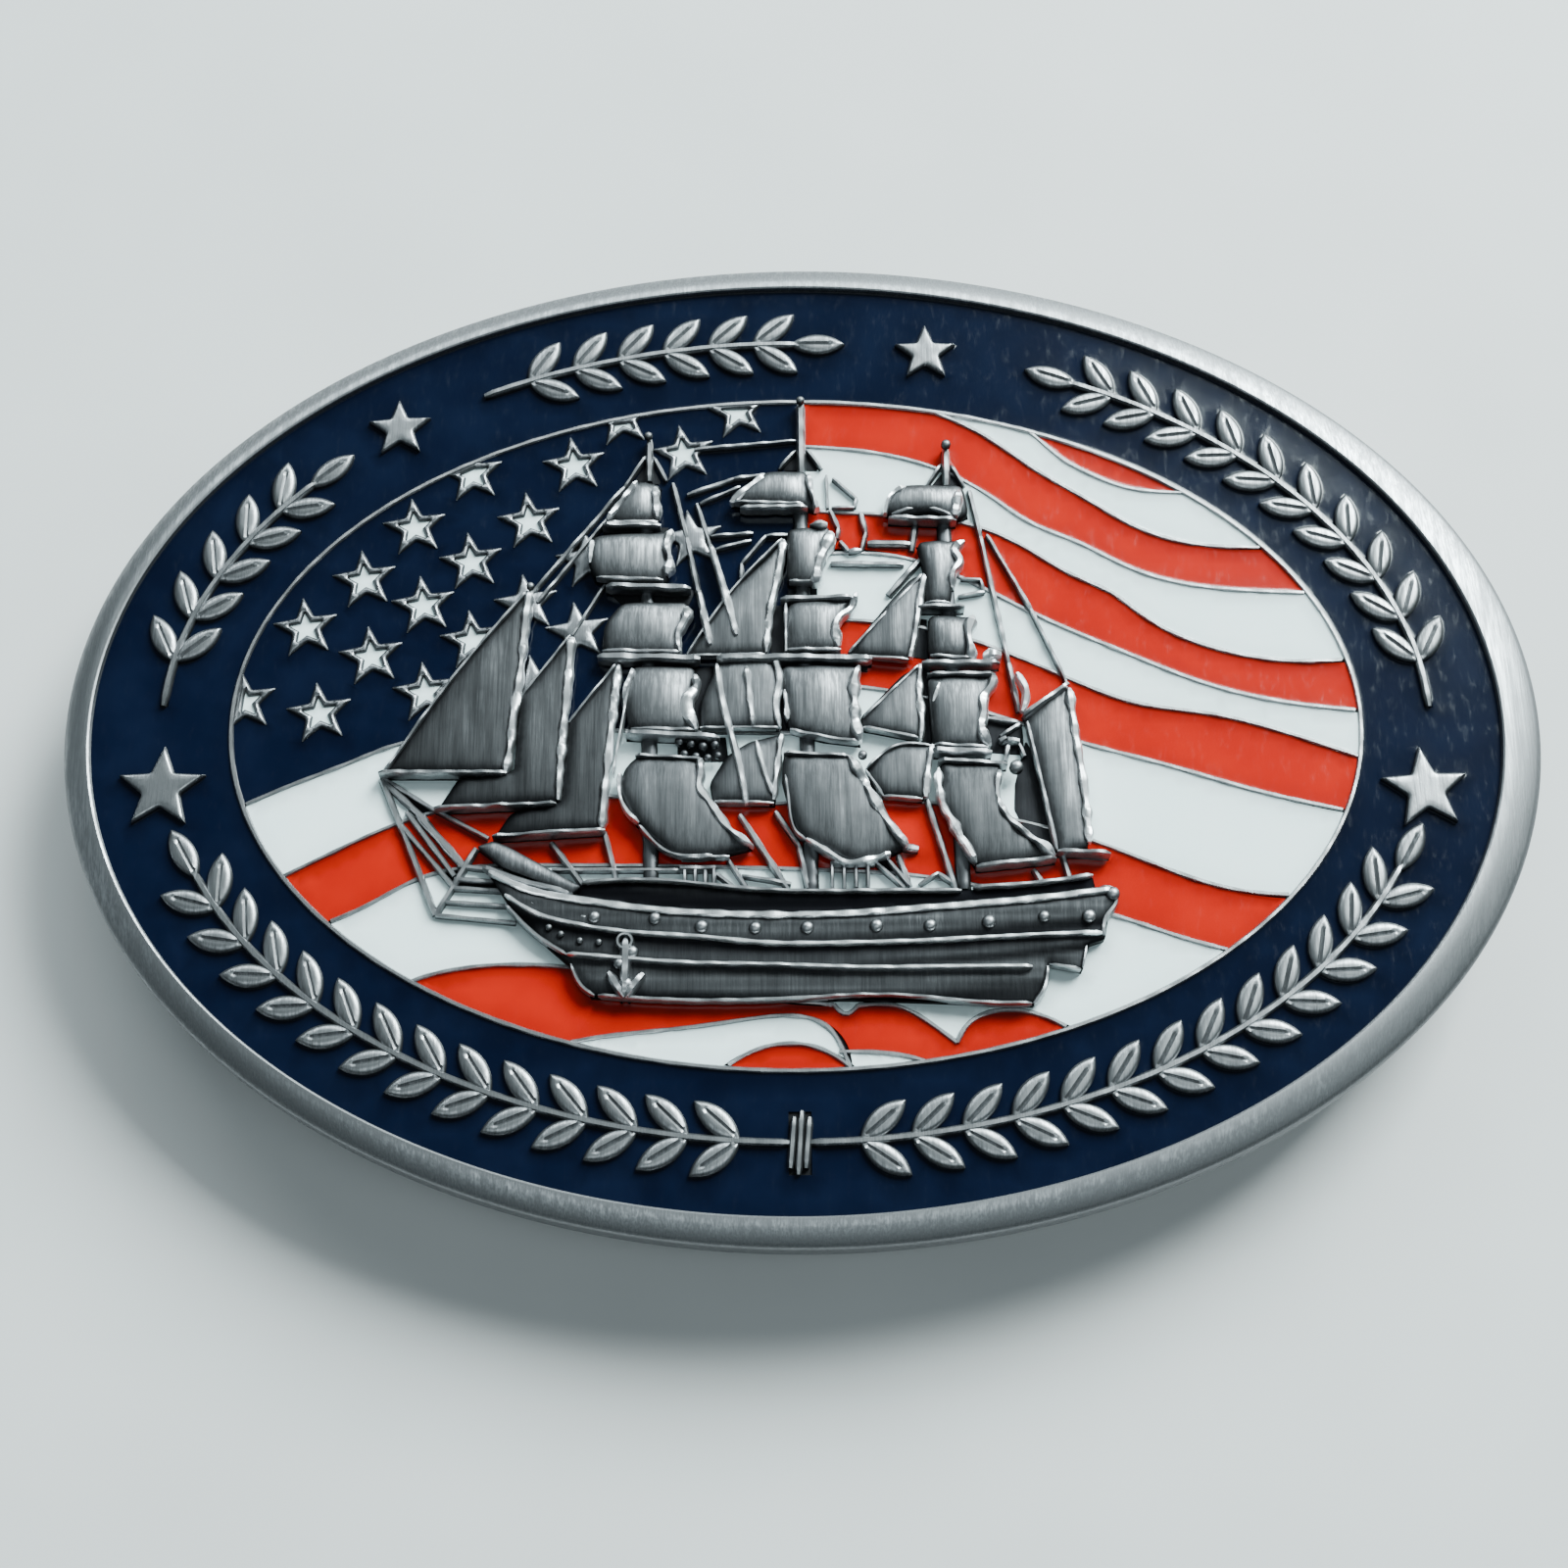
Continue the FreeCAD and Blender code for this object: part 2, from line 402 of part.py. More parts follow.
def enamel_areas(ship, ornaments):
    """Name of each enamel node, and the flat areas of its pools."""
    field = Part.Face(oval(RING_A - RING_WIDTH / 2, RING_B - RING_WIDTH / 2, x=ART_X))
    walls = [ribbon(points, WALL_WIDTH) for points in [CANTON_FOOT, CANTON_SIDE] + STRIPE_LINES]
    cells = field.cut(walls)
    outlines = [star(middle, STAR_R, STAR_WAIST, STAR_TILT) for middle in FILLED_STARS + BARE_STARS]
    areas = {"canton_enamel": pools(pick(cells, CANTON_SEED), ship, *outlines)}
    for name, seed in STRIPE_SEEDS:
        areas[name] = pools(pick(cells, seed), ship)
    whites = []
    for middle in FILLED_STARS:
        fill = star(middle, STAR_FILL_R, STAR_WAIST, STAR_TILT)
        whites += pools(fill.common(field), ship)
    areas["star_enamel"] = whites
    inside = Part.Face(oval(RING_A + RING_WIDTH / 2, RING_B + RING_WIDTH / 2, x=ART_X))
    areas["border_enamel"] = pools(Part.Face(oval(RECESS_A, RECESS_B, x=ART_X)), inside, ornaments)
    return areas


# ---------------------------------------------------------------- pewter casting
def plate_casting(areas, ship, ornaments):
    rim_top = ENAMEL_Z + RIM_RISE
    wall_top = ENAMEL_Z + WALL_RISE
    blank = Part.makeLoft([oval(PLATE_A, PLATE_B, BACK_Z), oval(PLATE_A, PLATE_B, rim_top - RIM_DROP),
                           oval(RIM_TOP_A, RIM_TOP_B, rim_top, ART_X)], True, True)
    sunk = Part.Face(oval(RIM_TOP_A, RIM_TOP_B, x=ART_X))
    panel = Part.Face(oval(BACK_PANEL_A, BACK_PANEL_B))
    cutters = [slab(sunk, wall_top, rim_top + 1), slab(panel, BACK_Z - 1, BACK_Z + BACK_SINK)]
    for flats in areas.values():
        cutters += [slab(flat, ENAMEL_Z - ENAMEL_DEPTH, rim_top + 1) for flat in flats]
    body = blank.cut(cutters)
    raised = [slab(face, wall_top, ENAMEL_Z + RIM_RISE) for face in ornaments.Faces]
    for level, rise in zip(ship, (RIGGING_RISE, SAIL_RISE, HULL_RISE)):
        raised += [slab(face, wall_top, ENAMEL_Z + rise) for face in level.Faces]
    return body.fuse(raised).removeSplitter()


# ---------------------------------------------------------------- back: bail, lugs and stud
def hinge_lug(side):
    height = BACK_Z + BACK_SINK
    low_y = LUG_IN_Y if side > 0 else -LUG_OUT_Y
    width_y = LUG_OUT_Y - LUG_IN_Y
    block = Part.makeBox(2 * LUG_HALF_X, width_y, height, V(HINGE_X - LUG_HALF_X, low_y, 0))
    feet = [edge for edge in block.Edges if edge.BoundBox.ZMax < 0.01 and edge.BoundBox.YLength > 1]
    block = block.makeFillet(LUG_ROUND, feet)
    hole = Part.makeCylinder(WIRE_R + PIVOT_GAP, width_y + 2, V(HINGE_X, low_y - 1, PIVOT_Z), V(0, 1, 0))
    return block.cut(hole)


def corner(centre, start_deg, end_deg, radius):
    circle = Part.Circle(centre, V(0, 0, 1), radius)
    return Part.ArcOfCircle(circle, math.radians(start_deg), math.radians(end_deg)).toShape()


def bail():
    """Wire loop, bent flat, then swung down until its bar lies on the table."""
    bar_x = HINGE_X + BAIL_LENGTH
    z = PIVOT_Z
    upper = [
        Part.LineSegment(V(HINGE_X, PIN_END_Y, z), V(HINGE_X, BAIL_HALF - PIVOT_BEND, z)).toShape(),
        corner(V(HINGE_X + PIVOT_BEND, BAIL_HALF - PIVOT_BEND, z), 90, 180, PIVOT_BEND),
        Part.LineSegment(V(HINGE_X + PIVOT_BEND, BAIL_HALF, z), V(bar_x - BAR_BEND, BAIL_HALF, z)).toShape(),
        corner(V(bar_x - BAR_BEND, BAIL_HALF - BAR_BEND, z), 0, 90, BAR_BEND),
    ]
    lower = [edge.mirror(V(0, 0, 0), V(0, 1, 0)) for edge in upper]
    bar_end = BAIL_HALF - BAR_BEND
    crossbar = Part.LineSegment(V(bar_x, bar_end, z), V(bar_x, -bar_end, z)).toShape()
    path = Part.Wire(Part.__sortEdges__(upper + [crossbar] + lower))
    section = Part.Wire([Part.Circle(V(HINGE_X, PIN_END_Y, z), V(0, 1, 0), WIRE_R).toShape()])
    loop = path.makePipeShell([section], True, False)
    droop = math.degrees(math.asin((PIVOT_Z - WIRE_R) / BAIL_LENGTH))
    loop.rotate(V(HINGE_X, 0, PIVOT_Z), V(0, 1, 0), droop)
    return loop


def belt_stud():
    foot_low = BACK_Z + BACK_SINK - FOOT_THICK
    post = Part.makeCylinder(STUD_R, foot_low + FOOT_THICK / 2, V(STUD_X, 0, 0))
    tip = [edge for edge in post.Edges if edge.BoundBox.ZMax < 0.01]
    post = post.makeFillet(STUD_ROUND, tip)
    foot = Part.makeCylinder(FOOT_R, FOOT_THICK, V(STUD_X, 0, foot_low))
    return post.fuse(foot).removeSplitter()


def save(name, shape):
    shape.exportStep("parts/%s.step" % name)
    print(name, "solids", len(shape.Solids), "valid", shape.isValid(), "volume", round(shape.Volume, 2))


def main():
    os.makedirs("parts", exist_ok=True)
    ornaments = border_ornaments()
    ship = ship_levels()
    areas = enamel_areas(ship[0], ornaments)
    for name, flats in areas.items():
        save(name, Part.makeCompound([slab(flat, ENAMEL_Z - ENAMEL_DEPTH, ENAMEL_Z) for flat in flats]))
    save("plate_casting", plate_casting(areas, ship, ornaments))
    save("bail", bail())
    save("hinge_lug_upper", hinge_lug(1))
    save("hinge_lug_lower", hinge_lug(-1))
    save("belt_stud", belt_stud())


main()
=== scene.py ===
"""Looks of an oval enamelled pewter buckle plate with a raised tall ship.

Shapes are worked out in millimetres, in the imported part's own frame, and turned into metres when a mesh is made.
The design's own points are measured from the middle of the sunk field, which lies DESIGN_X off the oval's middle.
"""

import math

import bpy
import numpy as np
from mathutils import Euler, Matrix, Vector, noise
from mathutils.geometry import delaunay_2d_cdt
from mathutils.kdtree import KDTree


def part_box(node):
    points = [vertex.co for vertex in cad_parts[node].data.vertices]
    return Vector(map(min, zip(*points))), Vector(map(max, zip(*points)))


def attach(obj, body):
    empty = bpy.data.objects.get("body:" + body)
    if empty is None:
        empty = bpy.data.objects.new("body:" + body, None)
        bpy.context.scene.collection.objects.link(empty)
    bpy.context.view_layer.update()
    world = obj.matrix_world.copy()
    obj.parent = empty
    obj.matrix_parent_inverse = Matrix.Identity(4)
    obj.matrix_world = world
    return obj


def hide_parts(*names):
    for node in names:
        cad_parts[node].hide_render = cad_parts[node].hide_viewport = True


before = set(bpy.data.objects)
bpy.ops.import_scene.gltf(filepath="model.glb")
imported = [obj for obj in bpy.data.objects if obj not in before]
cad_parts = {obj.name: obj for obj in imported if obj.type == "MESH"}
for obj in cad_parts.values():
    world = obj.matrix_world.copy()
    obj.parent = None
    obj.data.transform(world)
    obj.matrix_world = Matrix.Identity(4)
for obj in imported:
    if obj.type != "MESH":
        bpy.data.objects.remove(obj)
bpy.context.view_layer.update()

# ---------------------------------------------------------------- sizes, mm, taken from the frame
MM = 0.001


def node_box(node):
    """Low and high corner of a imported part, in millimetres."""
    low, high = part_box(node)
    return low / MM, high / MM


plate_low, plate_high = node_box("plate_casting")
enamel_low, enamel_high = node_box("border_enamel")
lug_low, lug_high = node_box("hinge_lug_upper")
stud_low, stud_high = node_box("belt_stud")

PLATE_A = (plate_high.x - plate_low.x) / 2
PLATE_B = (plate_high.y - plate_low.y) / 2
BACK_Z = plate_low.z
ENAMEL_Z = enamel_high.z
DESIGN_X = (enamel_low.x + enamel_high.x) / 2
FLOOR_Z = ENAMEL_Z - 0.12           # dark metal seen in gaps between enamel and relief
ROOT_Z = FLOOR_Z - 0.2              # foot of every raised shape, hidden in the field
SPAR_ROOT_Z = FLOOR_Z - 0.1
RIM_Z = ENAMEL_Z + 0.40
RIM_DROP = 0.65                     # the rim's outer shoulder, below its crest
BACK_SINK = lug_high.z - BACK_Z
PANEL_Z = BACK_Z + BACK_SINK
RING_A, RING_B = 33.97, 21.70
RING_WIDTH = 0.34
WALL_WIDTH = 0.30
WALL_Z = ENAMEL_Z + 0.13

STAR_R = 2.12
STAR_WAIST = 0.43
STAR_FILL_R = 1.06
STAR_TILT = 9.0

LEAF_LENGTH = 3.5
LEAF_WIDTH = 1.45
LEAF_ANGLE = 38.0
LEAF_STEP = 2.9
STEM_WIDTH = 0.5
TIE_SIZE = (1.3, 3.6)
MID_A, MID_B = 38.15, 25.85
# ---------------------------------------------------------------- the design: flag
# Each wall runs along a smooth line through a few points (x, y) about the middle of the design.
CANTON_FOOT = [
    (-34.6, -6.3), (-32.5, -5.3), (-30, -4.15), (-27, -2.9), (-24.3, -1.75), (-20, -0.9), (-14, -0.7), (-7, -0.9),
    (0.5, -1.0),
]
CANTON_SIDE = [(0.5, -1.1), (0.5, 22.5)]
STRIPE_LINES = [
    [(14.0, 20.2), (15.2, 19.2), (16.8, 17.6), (18.5, 16.5), (20.6, 15.55), (22.5, 15.2), (25.4, 15.1)],
    [(7.0, 21.7), (9.2, 20.8), (12, 19.25), (15, 16.9), (18, 14.85), (22, 12.35), (25, 11.5), (30.6, 11.3)],
    [(0.5, 18.5), (4, 18.2), (8.4, 17.1), (12, 15.1), (14.6, 13.1), (17.5, 11.7), (20.5, 10.0), (24, 8.8),
     (28, 8.3), (32.8, 8.1)],
    [(0.5, 14.0), (5, 13.7), (11, 12.9), (14, 11.5), (17, 9.5), (19.6, 8.1), (21, 6.9), (23, 5.5), (26, 4.3),
     (29.5, 3.6), (34.4, 3.7)],
    [(0.5, 10.9), (6.6, 10.7), (11.5, 8.6), (15.2, 6.5), (20, 4.2), (24.8, 2.1), (29, 0.95), (34.9, 0.2)],
    [(0.5, 6.6), (5, 6.3), (9, 5.6), (13, 4.15), (16.7, 2.4), (20.5, 0.85), (25, 0.1), (29, -1.0), (34.4, -3.0)],
    [(0.5, 2.4), (4.5, 1.9), (11, 0.4), (17.2, -1.75), (22, -3.15), (27, -4.75), (33.8, -6.4)],
    [(-31.4, -10.55), (-27, -8.25), (-23.5, -6.6), (-18, -5.2), (-11, -5.0), (-3, -5.6), (5, -5.2), (12, -6.4),
     (17.3, -7.9), (22, -9.85), (25.5, -11.0), (30.8, -11.4)],
    [(-28.6, -13.2), (-25.5, -11.9), (-22.1, -10.05), (-16, -9.3), (-7, -9.4), (2, -9.7), (8, -10.2), (14, -11.5),
     (18.5, -12.6), (22.5, -14.0), (26.6, -15.1)],
    [(-23.9, -17.2), (-22.3, -16.3), (-20.3, -15.7), (-13.5, -15.5), (-6, -16.8), (2.0, -17.85)],
    [(2.0, -17.85), (2.7, -18.4), (3.4, -17.9)], [(3.4, -17.9), (5.5, -17.9), (7.3, -18.8), (9.0, -20.1)],
    [(9.0, -20.1), (9.6, -19.1), (10.7, -18.4), (12.2, -18.2), (13.8, -18.5), (16.8, -20.2)],
    [(-14.8, -20.4), (-12.5, -19.85), (-7, -19.2), (-2.5, -18.6), (0, -18.5), (1.3, -18.9), (2.9, -21.6)],
    [(2.3, -20.6), (4.5, -20.65), (6.2, -20.9), (8.6, -21.7)],
    [(-5.0, -22.1), (-2.8, -20.6), (-0.6, -20.1), (1.3, -20.45), (3.6, -22.1)],
]
FILLED_STARS = [
    (-33.3, 1.15), (-28.7, 0.42), (-25.8, 4.15), (-29.9, 6.05), (-22.4, 1.75), (-19.7, 5.2), (-22.8, 7.55),
    (-26.5, 9.3), (-20.0, 10.5), (-23.6, 12.9), (-16.5, 13.3), (-20.2, 16.6), (-13.8, 17.2), (-10.9, 20.5),
    (-6.95, 18.0), (-3.55, 21.0),
]
BARE_STARS = [(-16.5, 7.6), (-13.3, 5.7), (-15.9, 2.2), (-12.8, 10.6), (-6.4, 12.0)]

# Border stars: middle, size, lean in degrees.
BORDER_STARS = [
    ((-37.75, -4.42), 2.75, 0.0), ((37.35, -4.88), 2.75, 3.0), ((-24.9, 19.8), 2.1, 4.0), ((8.45, 25.15), 2.1, 0.0),
]
# Garland sprays: angle of the stem's tail and of its tip along the border's middle oval, degrees.
SPRAYS = [(178, 141), (121, 87), (1, 66), (269.3, 200), (270.7, 340)]
TIE_ANGLE = 270

# ---------------------------------------------------------------- the design: ship
# Straight parts: x and y of one end, x and y of the other end, width.
MASTS = [
    (-9.1, 18.8, -9.05, 15.8, 0.45), (0.42, 21.4, 0.45, 16.3, 0.55), (9.5, 18.1, 9.5, 15.4, 0.5),
    (-9.3, 15.8, -8.6, -10.5, 0.9), (0.3, 16.3, 0.8, -11, 0.9), (9.2, 15.4, 9.7, -11, 0.9),
]
TOP_LEGS = [
    (-9.25, 17.8, -10.7, 15.4, 0.3), (-8.85, 17.7, -8.0, 16.0, 0.3), (0.1, 18.1, -0.95, 16.8, 0.3),
    (0.75, 18.2, 1.7, 16.8, 0.3), (9.25, 17.1, 8.3, 15.6, 0.3), (9.8, 17.0, 10.6, 15.5, 0.3),
]
STAYS = [
    (-10.6, 15.6, -16.2, 8.2, 0.32), (-11.3, 13.8, -15.8, 7.6, 0.3), (-16.9, 7.3, -24.6, -3.5, 0.35),
    (-11.7, 8.8, -13.6, 5.4, 0.3), (-13.6, 5.2, -16.5, 1.2, 0.35), (-10.9, 3.4, -13.6, -0.6, 0.3),
    (-7.6, 15.8, -6.7, 12.0, 0.35), (-6.7, 12.0, -5.9, 8.0, 0.4), (-5.9, 8.0, -5.2, 4.4, 0.35),
    (-6.1, 14.4, -5.2, 11.3, 0.3), (-5.2, 11.3, -3.6, 5.0, 0.4), (-6.7, 15.0, -3.8, 16.1, 0.3),
    (-3.8, 16.1, -1.7, 16.4, 0.3), (-5.9, 14.4, -3.4, 15.5, 0.3), (-6.3, 18.2, 0.1, 18.8, 0.28),
    (-5.2, 12.1, -2.6, 12.3, 0.25), (-4.9, 11.2, -2.7, 11.8, 0.25), (-3.3, 9.0, -3.3, 10.2, 0.3),
    (-3.3, 10.2, -1.8, 12.1, 0.3), (-1.8, 12.1, -0.4, 12.2, 0.3), (10.9, 15.2, 11.5, 12.0, 0.35),
    (11.5, 12.0, 12.9, 3.4, 0.35), (12.9, 3.4, 13.4, 0.2, 0.4), (11.9, 12.1, 14.4, 7.0, 0.28),
    (14.4, 7.0, 16.3, 2.3, 0.28), (16.3, 2.3, 16.9, -1.8, 0.3), (2.4, 16.1, 3.85, 14.7, 0.28),
    (3.85, 14.7, 3.7, 14.05, 0.28), (3.7, 14.05, 2.3, 14.05, 0.26), (2.0, 16.3, 2.05, 14.0, 0.22),
    (2.2, 13.9, 2.7, 12.6, 0.35), (2.7, 12.6, 2.6, 11.9, 0.35), (4.1, 13.7, 4.4, 12.3, 0.35),
    (4.4, 12.3, 4.1, 11.1, 0.35), (4.1, 11.1, 3.3, 11.0, 0.35), (3.3, 11.0, 2.8, 11.7, 0.35),
    (4.5, 11.6, 7.2, 11.5, 0.45), (2.2, 10.2, 6.7, 10.1, 0.35), (7.5, 12.9, 7.2, 11.0, 0.4),
    (7.7, 10.4, 5.7, 8.0, 0.5), (10.2, 9.1, 11.4, 9.0, 0.25), (11.4, 9.0, 11.6, 8.2, 0.25),
    (11.6, 8.2, 10.0, 7.9, 0.3),
]
YARDS = [
    (-11.9, 12.55, -8.3, 12.55, 0.35), (-11.6, 8.4, -6.4, 8.2, 0.5), (-12.0, 3.7, -5.8, 3.5, 0.6),
    (-10.2, -1.3, -4.6, -1.6, 0.45), (-9.6, -2.75, -5.6, -3.0, 0.3), (-3.4, 13.75, 0.8, 13.75, 0.35),
    (-0.9, 7.5, 3.5, 7.55, 0.4), (-4.8, 3.6, 4.6, 3.5, 0.55), (-0.8, -2.65, 3.1, -2.85, 0.3),
    (5.8, 13.0, 10.0, 12.8, 0.35), (7.4, 6.9, 10.3, 6.9, 0.35), (7.6, 3.2, 12.3, 3.15, 0.4),
    (7.9, 2.4, 12.0, 2.4, 0.3), (8.0, -2.5, 11.6, -2.6, 0.5), (8.4, -3.15, 12.5, -3.4, 0.35),
    (13.6, -0.25, 16.4, 1.8, 0.35), (15.2, -8.85, 18.3, -9.05, 0.35), (-24.8, -3.75, -17.2, -3.8, 0.35),
    (-21.4, -6.0, -14.2, -5.75, 0.3), (-17.9, -7.8, -11.3, -7.4, 0.3), (10.4, -9.8, 15.1, -9.3, 0.35),
]
BOW_LINES = [
    (-24.7, -3.8, -21.6, -5.8, 0.3), (-21.6, -5.8, -18.2, -7.7, 0.32), (-24.5, -4.1, -21.9, -6.6, 0.45),
    (-22.4, -6.2, -19.6, -9.4, 0.5), (-23.1, -6.0, -20.1, -10.0, 0.35), (-23.4, -6.8, -20.1, -10.7, 0.35),
    (-24.7, -3.9, -23.2, -7.4, 0.45), (-23.2, -7.4, -21.1, -12.4, 0.4), (-18.9, -8.3, -20.1, -10.6, 0.45),
    (-20.1, -10.6, -21.1, -12.4, 0.4), (-19.9, -9.4, -17.3, -9.7, 0.35), (-20.1, -10.2, -17.6, -10.4, 0.35),
    (-20.2, -10.75, -17.2, -10.95, 0.35), (-20.6, -11.6, -16.8, -11.9, 0.3), (-21.1, -12.4, -16.4, -12.9, 0.3),
]
SHEETS = [
    (-11.4, -7.3, -10.6, -10.4, 0.35), (-14.5, -8.0, -12.5, -10.7, 0.4), (-3.4, -6.3, -0.6, -10.9, 0.4),
    (-1.3, -6.1, 0.1, -8.3, 0.35), (0.1, -8.3, 0.6, -10.9, 0.45), (-4.1, -9.1, -2.9, -11.0, 0.35),
    (-4.9, -9.9, -3.5, -11.0, 0.3), (-14.4, -9.7, -6.9, -9.75, 0.3), (-3.3, -10.1, -0.4, -10.6, 0.3),
    (4.4, -9.2, 6.2, -10.9, 0.3), (5.2, -9.1, 6.6, -10.8, 0.3), (5.9, -8.9, 6.5, -10.7, 0.4),
    (7.7, -5.4, 9.2, -11.0, 0.4), (13.8, -9.8, 14.4, -10.9, 0.35), (15.1, -7.0, 16.1, -11.3, 0.35),
    (6.2, -8.4, 7.1, -8.5, 0.5), (7.1, -10.7, 8.2, -10.0, 0.3), (8.2, -10.0, 9.0, -10.6, 0.3),
    (11.4, -0.2, 13.3, -0.5, 0.35), (12.2, -1.4, 13.4, -0.6, 0.35), (12.4, -3.0, 12.7, -1.8, 0.35),
    (12.1, -1.75, 13.3, -1.85, 0.35), (13.3, -1.85, 13.6, -2.7, 0.35),
]
# Outlines of sails, from fore to mizzen and from the top down, then of the hull and the bowsprit.
JIBS_AND_STAYSAILS = [
    [(-16.3, 8.3), (-16.5, 4.5), (-16.8, 1), (-17.1, -2.2), (-17.3, -3.75), (-24.6, -3.65), (-20.3, 3.0)],
    [(-13.6, 5.3), (-13.8, 1), (-14.1, -5.6), (-21.3, -6.0), (-20.1, -4.0), (-16.8, -3.6), (-16.6, 1.2)],
    [(-10.8, 3.5), (-10.75, 1), (-11.2, -4), (-11.5, -7.3), (-17.9, -7.8), (-16.9, -6.2), (-14, -5.6), (-13.6, -0.4)],
    [(-0.65, 11.8), (-1.0, 9.3), (-1.5, 6.5), (-1.75, 3.9), (-6.8, 3.8), (-5.2, 6.2), (-3.7, 8.4), (-1.9, 10.2)],
    [(-1.4, 3.8), (-1.0, 2.0), (-1.2, 0.8), (-0.9, -1.0), (-5.8, -0.9), (-5.8, 0.8), (-4.8, 3.4)],
    [(-0.9, -1.3), (-1.1, -3.2), (-1.3, -5.8), (-5.0, -5.6), (-5.2, -4.4), (-4.2, -2.7), (-2.9, -1.8)],
    [(8.05, 9.4), (7.5, 7.0), (7.2, 5.0), (6.8, 3.5), (3.1, 3.9), (4.2, 5.4), (5.6, 7.2), (7.0, 8.9)],
    [(7.5, 3.2), (7.4, 1.0), (7.5, -0.8), (7.3, -1.7), (4.0, -1.0), (3.8, -0.2), (5.1, 1.1), (6.4, 2.5)],
    [(8.2, -2.1), (7.8, -3.6), (7.5, -5.6), (5.1, -5.3), (4.3, -4.5), (4.1, -3.6), (5.0, -2.5), (6.0, -2.0)],
    [(13.6, -0.3), (15.0, 0.9), (16.3, 1.8), (16.6, -1.0), (16.9, -4.5), (17.1, -8.5), (15.3, -8.9), (14.6, -5.0),
     (14.1, -2.0)],
]
SQUARE_SAILS = [
    [(-9.8, 15.7), (-8.3, 15.5), (-8.45, 14.0), (-8.4, 12.8), (-11.7, 12.7)],
    [(-12.5, 11.9), (-7.6, 12.2), (-7.8, 10.9), (-7.6, 9.9), (-7.9, 8.7), (-12.3, 8.9), (-12.8, 10.3)],
    [(-10.6, 7.3), (-6.6, 7.4), (-6.5, 6.5), (-7.0, 5.2), (-6.9, 3.8), (-11.8, 4.0), (-11.6, 5.9)],
    [(-9.9, 3.1), (-6.1, 3.1), (-6.0, 1.8), (-6.5, 0.7), (-5.9, -1.2), (-10.0, -1.1), (-10.4, 1.0)],
    [(-9.5, -2.7), (-5.8, -3.0), (-5.6, -4.6), (-4.8, -6.4), (-2.6, -8.5), (-5.0, -9.1), (-7.3, -9.0), (-9.5, -7.0),
     (-10.5, -5.0), (-10.3, -3.6)], [(-1.8, 16.3), (0.8, 16.4), (0.9, 15.0), (1.4, 13.6), (0.4, 13.9), (-4.0, 14.1)],
    [(-0.5, 12.3), (2.1, 12.5), (2.2, 11.9), (1.6, 10.4), (1.35, 8.5), (-0.5, 8.6)],
    [(-0.4, 7.3), (3.5, 7.5), (2.9, 6.6), (2.5, 5.7), (2.75, 4.0), (-0.8, 4.0), (-0.65, 5.8)],
    [(-0.9, 3.1), (3.8, 3.1), (3.5, 1.8), (3.5, 0.0), (3.85, -2.0), (1.6, -1.7), (-0.5, -1.1), (-0.7, 0.8)],
    [(-0.8, -2.6), (3.1, -2.8), (4.0, -4.5), (5.0, -6.4), (6.4, -8.5), (5.2, -9.1), (3.4, -9.5), (1.6, -8.7),
     (0.0, -7.8), (-0.6, -5.6), (-0.9, -4.2)],
    [(5.4, 13.6), (5.8, 14.6), (6.8, 15.35), (10.5, 15.35), (10.8, 13.3), (9.9, 12.9), (8.6, 13.5), (6.0, 13.2)],
    [(7.5, 11.4), (10.4, 11.5), (9.8, 10.6), (10.1, 9.9), (9.65, 9.0), (9.5, 7.1), (7.9, 7.1), (7.9, 9.3)],
    [(8.1, 6.4), (10.85, 6.3), (10.5, 5.2), (10.7, 3.4), (8.0, 3.6), (8.0, 5.0)],
    [(7.9, 2.3), (12.0, 2.4), (11.9, 1.5), (11.3, 0.7), (11.0, -1.1), (11.5, -2.4), (8.1, -2.2)],
    [(8.5, -3.2), (12.2, -3.5), (11.8, -4.4), (11.9, -6.0), (12.9, -7.4), (15.1, -9.3), (10.4, -9.8), (9.1, -7.4),
     (8.5, -5.6)],
]
HULL = [
    (-18.4, -9.5), (-16.6, -10.2), (-13.0, -11.3), (-12.6, -10.5), (-6.0, -10.6), (-2.0, -11.0), (9.6, -11.1),
    (13.6, -10.8), (17.2, -10.2), (17.4, -11.2), (18.3, -11.1), (18.65, -11.7), (18.0, -12.7), (17.7, -14.2),
    (16.8, -14.5), (16.3, -16.1), (14.4, -15.6), (14.1, -17.4), (13.4, -18.1), (4.0, -17.7), (-11.9, -17.5),
    (-13.2, -15.6), (-15.0, -14.0), (-16.5, -12.4),
]
BOWSPRIT = [(-18.8, -8.4), (-17.8, -8.05), (-16.8, -8.5), (-12.6, -10.9), (-13.2, -11.3), (-17.2, -9.7)]
# Shank and two flukes, as straight parts.
ANCHOR = [
    (-9.95, -14.0, -9.95, -17.6, 0.6), (-10.9, -16.1, -9.95, -17.6, 0.6), (-8.9, -16.2, -9.95, -17.6, 0.6),
]


